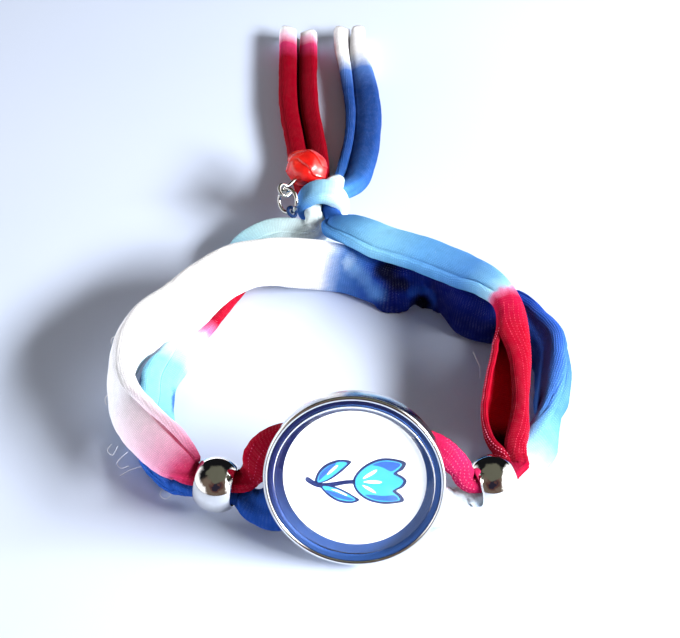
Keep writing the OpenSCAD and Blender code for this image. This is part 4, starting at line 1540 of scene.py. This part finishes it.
@dataclass
class MetalBead:
    """A round bead with a wide hole and softly rolled ends."""

    name: str
    node: str
    at: np.ndarray
    turn: float
    radius: float = 3.6
    bore: float = 2.36
    half: float = 2.5
    lip: float = 0.14

    def build(self, alloy: bpy.types.Material) -> None:
        """Builds the bead.

        Args:
            alloy: The finish.
        """
        edge = math.degrees(math.asin((self.half - 0.08) / self.radius))
        rolled = arc((self.bore + self.lip, self.half - self.lip), self.lip, 80, 180, 8)
        profile = (arc((0.0, 0.0), self.radius, -edge, edge, 40) + rolled + [(self.bore, 0.0)]
                   + [(r, -z) for r, z in reversed(rolled)])
        place = (Matrix.Translation(Vector(home(self.at)))
                 @ Matrix.Rotation(math.radians(self.turn), 4, "Z")
                 @ Matrix.Rotation(math.pi / 2, 4, "Y"))
        made = dressed_piece(turned_mesh(self.name, profile, place, 96), alloy)
        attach(made, "root")
        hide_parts(self.node)


@dataclass
class BackKnot:
    """The knot: a wide fold of cloth wrapped round both ends, with a tuck and a pinched loop."""

    half_wide: float = 2.95
    half_high: float = 2.2
    band: float = 4.4
    thick: float = 2.2
    steps: int = 16
    start: float = -100
    sweep: float = 370
    loop_at: tuple[float, float, float] = (-7.12, 17.25, 5.84)
    loop_way: tuple[float, float, float] = (0.6345, -0.25, 0.731)
    loop_radius: float = 0.75
    loop_thick: float = 0.5

    def wrap_rows(self) -> list[Row]:
        """Works out the table of the wrap, which starts and ends out of sight below the knot.

        Returns:
            The table's rows.
        """
        rows = []
        for i in range(self.steps + 1):
            a = math.radians(self.start + self.sweep * i / self.steps)
            top = max(0.0, math.sin(a))
            y = -0.35 + 0.7 * i / self.steps + 0.25 * math.sin(a)
            thick = self.thick * (0.85 + 0.25 * max(0.0, math.sin(a + 0.4)))
            z = self.half_high * (1.0 + 0.12 * top) * math.sin(a)
            at = KNOT + np.array([self.half_wide * math.cos(a), y, z])
            rows.append((*map(float, at), self.band * (0.84 + 0.16 * top), thick, 0, 180, 8))
        return rows

    def build(self) -> None:
        """Builds the knot."""
        wrap = Ribbon("knot_wrap", "knot", "cloth_light_blue", self.wrap_rows(), KNOT_FINISH,
                      creases=(Crease(6, 12, 40, 25, 16, 0.16), Crease(3, 9, -30, -12, 14, -0.14)),
                      wall=0.6, wrinkle=0.08, curl=0.2, hold=Hold.GATHERED, guide=(0.0, 1.0, 0.0),
                      flat_width=12.0, step=0.3, seed=4.0)
        tuck = Ribbon("knot_tuck", "knot", "cloth_light_blue", TUCK_ROWS, TUCK_FINISH,
                      wall=0.5, wrinkle=0.06, curl=0.2, step=0.25, seed=8.0).make()
        way = Vector(self.loop_way).normalized()
        place = (Matrix.Translation(Vector(home(self.loop_at)))
                 @ way.to_track_quat("Z", "Y").to_matrix().to_4x4())
        profile = arc((self.loop_radius, 0.0), self.loop_thick / 2, 0, 345, 15)
        # The loop's dark navy is painted shade where the jump ring goes into the knot.
        made = dressed_piece(turned_mesh("knot_loop", profile, place, 40),
                             SHADED_LOOP_FINISH.material(wrap))
        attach(made, "root")
        wrap.build((tuck, made))


@dataclass
class Charm:
    """The charm at the knot: a jump ring through a fold, an eye pin and a rose bead."""

    jump_at: tuple[float, float, float] = (-7.75, 18.6, 6.85)
    jump_radius: float = 1.8
    jump_turn: float = 221.5
    jump_tip: float = 67
    wire: float = 0.6
    rose_at: tuple[float, float, float] = (-5.0, 25.05, 8.0)
    pin_turn: float = 56.0
    pin_dip: float = -4.0
    pin_twist: float = 44.0
    eye_reach: float = 6.0
    eye_radius: float = 0.9
    pin_reach: float = 3.1
    rose_long: float = 3.0
    rose_wide: float = 3.15
    rose_high: float = 2.65
    petal_rings: int = 120
    petal_sides: int = 132

    @staticmethod
    def aimed(at: Sequence[float], turn: float, tip: float) -> Matrix:
        """Returns a place that is turned and tipped, in degrees."""
        return (Matrix.Translation(Vector(home(at))) @ Matrix.Rotation(math.radians(turn), 4, "Z")
                @ Matrix.Rotation(math.radians(tip), 4, "Y"))

    def build_wires(self, alloy: bpy.types.Material) -> None:
        """Bends the jump ring and the eye pin, whose end is cut a little thinner.

        Args:
            alloy: The finish.
        """
        place = self.aimed(self.jump_at, self.jump_turn, self.jump_tip)
        turns = np.radians(np.linspace(96, 96 + 353, 72))
        ring = [place @ Vector((self.jump_radius * MM * math.cos(t),
                                self.jump_radius * MM * math.sin(t),
                                0.00004 * (t - turns[0] - 3.0) / 3.0)) for t in turns]
        made = bend_wire("jump_ring_wire", [np.array(ring)], self.wire * MM, 16, alloy)
        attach(made, "root")
        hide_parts("jump_ring")
        place = (self.aimed(self.rose_at, self.pin_turn, self.pin_dip)
                 @ Matrix.Rotation(math.radians(self.pin_twist), 4, "X"))
        line = [(self.pin_reach + 0.2, 0, 0), (self.pin_reach * 0.5, 0, 0), (0, 0, 0), (-3.0, 0, 0),
                (-4.6, 0, 0)]
        line += [(-self.eye_reach + self.eye_radius * math.cos(t), self.eye_radius * math.sin(t),
                  0.012 * i) for i, t in enumerate(np.radians(np.linspace(4, 335, 40)))]
        x, y, _ = line[-1]
        tail = [line[-1], (x - 0.35, y - 0.05, 0.62), (x - 1.5, y + 0.2, 0.9)]
        pin, end = (np.array([place @ (Vector(p) * MM) for p in points]) for points in (line, tail))
        made = bend_wire("eye_pin_wire", [pin], self.wire * MM, 16, alloy)
        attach(made, "root")
        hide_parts("eye_pin")
        made = bend_wire("eye_pin_end", [end], self.wire * 0.92 * MM, 14, alloy)
        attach(made, "root")

    def build_rose(self, resin: bpy.types.Material) -> None:
        """Sculpts the rose, whose petals wind round the pin.

        Args:
            resin: The finish.
        """
        polar = np.linspace(0, math.pi, self.petal_rings)[1:-1][:, None]
        turn = np.linspace(0, math.tau, self.petal_sides, endpoint=False)[None, :]
        wave = 0.32 * np.sin(3 * turn + 0.6) * np.clip(polar - 0.25, 0, 1) + 0.1 * np.sin(5 * turn)
        phase = (polar * 1.25 + wave - turn / math.tau) % 1.0
        lip = np.exp(-((phase - 0.08) / 0.09) ** 2)
        face = np.clip((2.3 - polar) / 0.8, 0, 1)
        seam = np.exp(-(np.minimum(phase, 1 - phase) / 0.045) ** 2) * face
        swell = (1 + face * (0.04 * lip + 0.06 * (0.5 - phase))
                 + 0.03 * np.sin(5 * turn + 3 * polar) - 0.02 * seam)
        x = -np.cos(polar) * self.rose_long * (0.94 + 0.06 * swell)
        y = np.sin(polar) * np.cos(turn) * self.rose_wide * swell
        z = np.sin(polar) * np.sin(turn) * self.rose_high * swell
        bm = bmesh.new()
        layer = bm.verts.layers.float.new("hollow")
        verts = [bm.verts.new(Vector(p) * MM) for p in np.stack([x, y, z], -1).reshape(-1, 3)]
        first = bm.verts.new(Vector((-self.rose_long * 0.9, 0, 0)) * MM)
        last = bm.verts.new(Vector((self.rose_long, 0, 0)) * MM)
        # Each point's share of the painted shade in the petal seams.
        for v, shade in zip(verts, seam.ravel()):
            v[layer] = float(shade) * 0.25
        lines = [verts[i:i + self.petal_sides] for i in range(0, len(verts), self.petal_sides)]
        for low, high in zip([[first]] + lines, lines + [[last]]):
            for k in range(self.petal_sides):
                n = (k + 1) % self.petal_sides
                corners = [low[k % len(low)], low[n % len(low)],
                           high[n % len(high)], high[k % len(high)]]
                bm.faces.new(list(dict.fromkeys(corners))).smooth = True
        bmesh.ops.recalc_face_normals(bm, faces=bm.faces)
        bm.transform(self.aimed(self.rose_at, self.pin_turn, self.pin_dip))
        made = dressed_piece(finished(bm, "rose_petals"), resin)
        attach(made, "root")
        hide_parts("rose_bead")


@dataclass
class Ribbons:
    """All the cloth of the wristband, with its fuzz and loose threads."""

    stitch_spacing: float = 0.00045
    stitch_size: float = 0.00009
    thread_wide: float = 0.00011
    fibre_long: float = 0.00065
    fibre_share: float = 0.45

    def build(self) -> None:
        """Builds the strands, the tails and the fibres on them."""
        long_turn = Ribbon(
            "long_strand", "long_turn", "cloth_white_blue", LONG_ROWS, LONG_FINISH, seed=1.0,
            creases=(Crease(9.2, 18, 10, 4, 12, -0.12), Crease(22.2, 24.4, 262, 205, 15, 0.7),
                     Crease(24.2, 26.8, 205, 262, 15, 0.7), Crease(22.3, 24.0, 190, 150, 24, -0.8),
                     Crease(6.3, 10.0, 50, 40, 22, -1.0), Crease(29.8, 34.6, 20, 48, 16, -0.8),
                     Crease(33.6, 37.2, 60, 30, 16, -0.8), Crease(31.0, 36.0, -10, 0, 22, 0.5)),
            gathers=(Gather(6.6, 0.8, 6, 0.12), Gather(4.6, 0.6, 7, 0.08),
                     Gather(39.6, 1.4, 6, 0.14)),
            ripples=(Ripple(1.7, 4.3, 0, 75, 1.0, 0.13),))
        left_turn = Ribbon(
            "left_strand", "left_turn", "cloth_pale_cyan", LEFT_ROWS, LEFT_FINISH, seed=2.0,
            creases=(Crease(1.6, 4.6, 170, 160, 12, 0.25), Crease(1.6, 4.6, 200, 215, 12, 0.2)),
            gathers=(Gather(6.8, 1.0, 6, 0.14), Gather(8.0, 1.4, 11, 0.10),
                     Gather(4.6, 0.6, 7, 0.08)))
        right_turn = Ribbon(
            "right_strand", "right_turn", "cloth_blue_red", RIGHT_ROWS, RIGHT_FINISH, seed=3.0,
            creases=(Crease(2.0, 9.8, 38, 34, 13, -0.55), Crease(19.2, 21.4, 190, 175, 14, -0.4)),
            gathers=(Gather(16.8, 1.0, 6, 0.14),),
            ripples=(Ripple(18.9, 21.6, 180, 80, 0.8, 0.10),))
        left_tail = Ribbon("left_end", "left_tail", "cloth_red", LEFT_TAIL_ROWS, LEFT_TAIL_FINISH,
                           seed=5.0, gathers=(Gather(1.6, 0.8, 5, 0.12),), wrinkle=0.07, trim=1.3,
                           creases=(Crease(2, 12, 180, 180, 24, -0.7),))
        right_tail = Ribbon("right_end", "right_tail", "cloth_blue", RIGHT_TAIL_ROWS,
                            RIGHT_TAIL_FINISH, seed=6.0, gathers=(Gather(1.6, 0.8, 5, 0.12),),
                            wrinkle=0.07, creases=(Crease(2, 13, 160, 178, 20, -0.6),))
        for ribbon in (long_turn, left_turn, right_turn, left_tail, right_tail):
            ribbon.build()
        self.stitches(right_turn, "rim_stitches", (11.2, 16.2), (4, 6),
                      (236, 110, 146), 21)
        self.stitches(right_turn, "lobe_stitches", (10.2, 16.2),
                      range(30, 47, 2), (206, 26, 70), 22)
        self.stitches(right_turn, "leaf_stitches", (19.0, 20.9),
                      range(24, 37, 3), (228, 84, 128), 23)
        self.stitches(long_turn, "red_leaf_stitches", (2.4, 4.3),
                      range(24, 34, 3), (200, 50, 92), 24)
        self.threads()
        self.fuzz(long_turn, "white_fuzz", "cloth_white_blue", (6.4, 20), (236, 232, 240), 3.0, 11)
        self.fuzz(long_turn, "blue_fuzz", "cloth_white_blue", (20, 39), (110, 150, 212), 2.4, 12)
        self.fuzz(left_turn, "left_fuzz", "cloth_pale_cyan", (7, 20), (140, 180, 222), 2.4, 13)
        self.fuzz(right_turn, "sky_fuzz", "cloth_blue_red", (2, 9.6), (190, 218, 238), 2.4, 14)
        self.fuzz(right_turn, "red_fuzz", "cloth_blue_red", (9.7, 16), (228, 90, 128), 2.4, 15)

    # Loose threads, six at the left and one at the right, in millimetres: points along each one.
    THREADS = (
        [(-28.9, -31.1, 0.3), (-27.5, -30.5, 0.8), (-25.9, -30.4, 1.4), (-23.8, -30.6, 2.4)],
        [(-23.6, -33.3, 2.2), (-23.0, -33.5, 0.9), (-23.4, -34.4, 0.3), (-22.6, -35.2, 0.3),
         (-21.9, -34.6, 0.6), (-22.4, -33.7, 0.9)],
        [(-29.4, -27.1, 1.8), (-30.1, -27.8, 0.8), (-30.9, -26.6, 0.5), (-30.4, -25.9, 0.9)],
        [(-30.6, -19.4, 4.5), (-31.6, -19.8, 3.5), (-31.4, -20.6, 3.0)],
        [(-30.2, -11.0, 7.0), (-31.3, -10.6, 6.0), (-31.4, -11.2, 5.5)],
        [(-27.9, -29.0, 2.6), (-29.4, -28.9, 0.6), (-28.9, -29.7, 0.3), (-27.8, -29.8, 0.8)],
        [(18.4, -10.7, 3.5), (18.9, -11.4, 2.6), (19.3, -12.5, 2.2), (19.2, -14.3, 2.0)])

    def threads(self) -> None:
        """Lays the loose threads beside the band."""
        lines = [home(catmull(np.array(points), np.linspace(0, len(points) - 1, 9 * len(points))))
                 for points in self.THREADS]
        white = LooseThread("Loose white thread", (236, 238, 246)).material()
        made = bend_wire("loose_threads", lines, self.thread_wide, 6, white)
        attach(made, "root")

    def stitches(self, ribbon: Ribbon, name: str, span: tuple[float, float],
                 places: Iterable[int], shade: Shade, seed: int) -> None:
        """Sews rows of small light stitches along a ribbon.

        Args:
            ribbon: The ribbon.
            name: The piece's name.
            span: First and last row of the stretch.
            places: Which points of each ring carry a row of stitches.
            shade: The stitches' colour.
            seed: Number that varies their sizes.
        """
        face = ribbon.between(*span)
        lines = [face[order % 2:, place] for order, place in enumerate(places)]
        made = grow(new_object(name, line_mesh(name, lines)), stitch_row(), {
            "Stitch spacing": self.stitch_spacing, "Stitch size": self.stitch_size, "Seed": seed,
            "Material": LooseThread(name + " thread", shade).material()})
        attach(made, "root")

    def fuzz(self, ribbon: Ribbon, name: str, slot: str, span: tuple[float, float],
             shade: Shade, density: float, seed: int) -> None:
        """Grows short fibres on a stretch of a ribbon.

        Args:
            ribbon: The ribbon.
            name: The piece's name.
            slot: Not used.
            span: First and last row of the stretch.
            shade: The fibres' colour.
            density: Fibres on a square millimetre, before some are left out.
            seed: Number that fixes their places.
        """
        fibre = single_fibre()
        made = grow(new_object(name, ribbon.patch(*span)), loose_fibres(), {
            "Fibres per area": density * 1e6 * self.fibre_share, "Fibre length": self.fibre_long,
            "Seed": seed, "Fibre": fibre,
            "Material": LooseThread(name + " thread", shade).material()})
        bpy.data.objects.remove(fibre)
        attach(made, "root")


@dataclass
class Studio:
    """The pale table, the soft daylight from the right and the camera."""

    elevation: float = 42.0
    focal: float = 1909.0
    distance: float = 274.0
    key_power: float = 4.7
    key_wide: float = 0.28
    key_high: float = 0.07
    key_at: tuple[float, float, float] = (0.311, -0.126, 0.178)
    ambient: Colour = (0.155, 0.135, 0.12, 1.0)
    left_fill: Colour = (14.0, 14.3, 14.6, 1.0)
    photo_wide: int = 680
    sensor: float = 36.0
    table_half: float = 1.6
    table_steps: int = 24

    def build(self) -> None:
        """Lays the table, hangs the lights and places the camera."""
        self.table()
        self.lights()
        self.camera()

    def table(self) -> None:
        """Lays the pale table top."""
        bm = bmesh.new()
        n, half = self.table_steps, self.table_half
        verts = [[bm.verts.new((-half + 2 * half * i / n, -half + 2 * half * j / n, 0.0))
                  for i in range(n + 1)] for j in range(n + 1)]
        for low, high in zip(verts, verts[1:]):
            for i in range(n):
                bm.faces.new((low[i], low[i + 1], high[i + 1], high[i]))
        mesh = finished(bm, "table_top")
        made, b, shader = blank_material("Pale table")
        b.fill(shader, {"Roughness": 0.7, "Specular IOR Level": 0.15, "Base Color": b.ramp(
            b.noise(b.place(), 14.0, 3.0)["Fac"],
            [(0.3, (0.60, 0.69, 0.87, 1)), (0.7, (0.63, 0.71, 0.88, 1))])})
        mesh.materials.append(made)
        new_object("table_top", mesh)

    def lights(self) -> None:
        """Hangs the window on the right and the room around."""
        lamp = bpy.data.lights.new("window", "AREA")
        lamp.shape = "RECTANGLE"
        lamp.energy, lamp.size, lamp.size_y = self.key_power, self.key_wide, self.key_high
        made = bpy.data.objects.new("window", lamp)
        made.location = self.key_at
        made.rotation_euler = (-Vector(self.key_at)).to_track_quat("-Z", "Y").to_euler()
        bpy.context.scene.collection.objects.link(made)
        world = bpy.data.worlds.new("Pale room")
        bpy.context.scene.world = world
        world.use_nodes = True
        b = Bench(world.node_tree)
        way = b.add("ShaderNodeTexCoord").outputs["Generated"]
        mirror = b.add("ShaderNodeLightPath").outputs["Is Glossy Ray"]
        x, _, z = b.split(way)
        left = b.math("MULTIPLY", b.step(x, -0.45, -0.75), b.step(z, 0.2, 0.12))
        soft = b.mix(left, self.ambient, self.left_fill)
        b.fill(world.node_tree.nodes["Background"], {0: b.mix(mirror, soft, self.room(b, way)),
                                                     1: 1.0})

    def room(self, b: Bench, way: bpy.types.NodeSocket) -> bpy.types.NodeSocket:
        """Paints the room that the bright metal mirrors.

        Args:
            b: The bench over the world's nodes.
            way: The direction looked in.

        Returns:
            The colour of the room in that direction.
        """
        drift = b.vector("SUBTRACT", b.noise(way, 2.6, 3.0)["Color"], (0.5, 0.5, 0.5))
        way = b.vector("MULTIPLY_ADD", drift, (0.45, 0.45, 0.45), way)
        x, y, z = b.split(way)
        e = math.radians(self.elevation)
        towards = b.vector("DOT_PRODUCT", way, (0.0, -math.cos(e), math.sin(e)))
        low_left = b.math("MULTIPLY", b.step(x, -0.58, -0.76), b.step(z, 0.5, 0.25))
        colour = (0.2, 0.15, 0.12, 1.0)
        for part, tone in (
                (b.step(y, -0.25, 0.1), (0.01, 0.01, 0.012, 1.0)),
                (b.step(towards, 0.80, 0.93), (0.12, 0.055, 0.05, 1.0)),
                (b.step(towards, 0.94, 0.975), (0.03, 0.025, 0.045, 1.0)),
                (b.step(z, 0.72, 0.86), (0.16, 0.16, 0.12, 1.0)),
                (low_left, (1.5, 1.5, 1.55, 1.0)), (b.step(x, 0.55, 0.75), (3.0, 3.0, 3.0, 1.0))):
            colour = b.mix(part, colour, tone)
        return colour

    def camera(self) -> None:
        """Places the camera at the photograph's angle."""
        data = bpy.data.cameras.new("view")
        data.sensor_width = self.sensor
        data.lens = self.focal / self.photo_wide * self.sensor
        data.clip_start, data.clip_end = 0.01, 20.0
        made = bpy.data.objects.new("view", data)
        e = math.radians(self.elevation)
        target = Vector(home((0.0, 0.0, 0.0)))
        made.location = target + self.distance * MM * Vector((0, -math.cos(e), math.sin(e)))
        made.rotation_euler = (math.pi / 2 - e, 0, 0)
        bpy.context.scene.collection.objects.link(made)
        bpy.context.scene.camera = made


def main() -> None:
    """Builds every sub-assembly."""
    logging.basicConfig(level=logging.INFO, format="%(name)s: %(message)s")
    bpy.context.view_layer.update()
    bpy.context.scene.view_settings.view_transform = "Standard"
    cast, bright, wire = (PolishedAlloy(*sizes).material() for sizes in (
        ("Cast alloy", (0.80, 0.80, 0.79, 1.0), 0.12, 0.25),
        ("Polished bead alloy", (0.78, 0.77, 0.75, 1.0), 0.03, 0.08),
        ("Charm wire", (0.62, 0.61, 0.58, 1.0), 0.14, 0.1)))
    medallion = Medallion()
    medallion.build_setting(cast)
    medallion.build_glass(ClearGlass().material())
    medallion.build_card({
        "card": PrintInk("Coated card", dye(250, 251, 253)).material(),
        "ring": PrintInk("Ring ink", dye(6, 14, 62), dye(36, 68, 124)).material(),
        "line": PrintInk("Line ink", dye(14, 30, 84)).material(),
        "azure": PrintInk("Azure ink", dye(58, 164, 222)).material(),
        "royal": PrintInk("Royal ink", dye(34, 84, 186)).material(),
        "white": PrintInk("White ink", dye(244, 250, 254)).material()})
    MetalBead("bead_left_metal", "bead_left", BEAD_LEFT, -14).build(bright)
    MetalBead("bead_right_metal", "bead_right", BEAD_RIGHT, 24).build(bright)
    Ribbons().build()
    BackKnot().build()
    charm = Charm()
    charm.build_wires(wire)
    charm.build_rose(RoseResin().material())
    Studio().build()


if __name__ == "__main__":
    main()
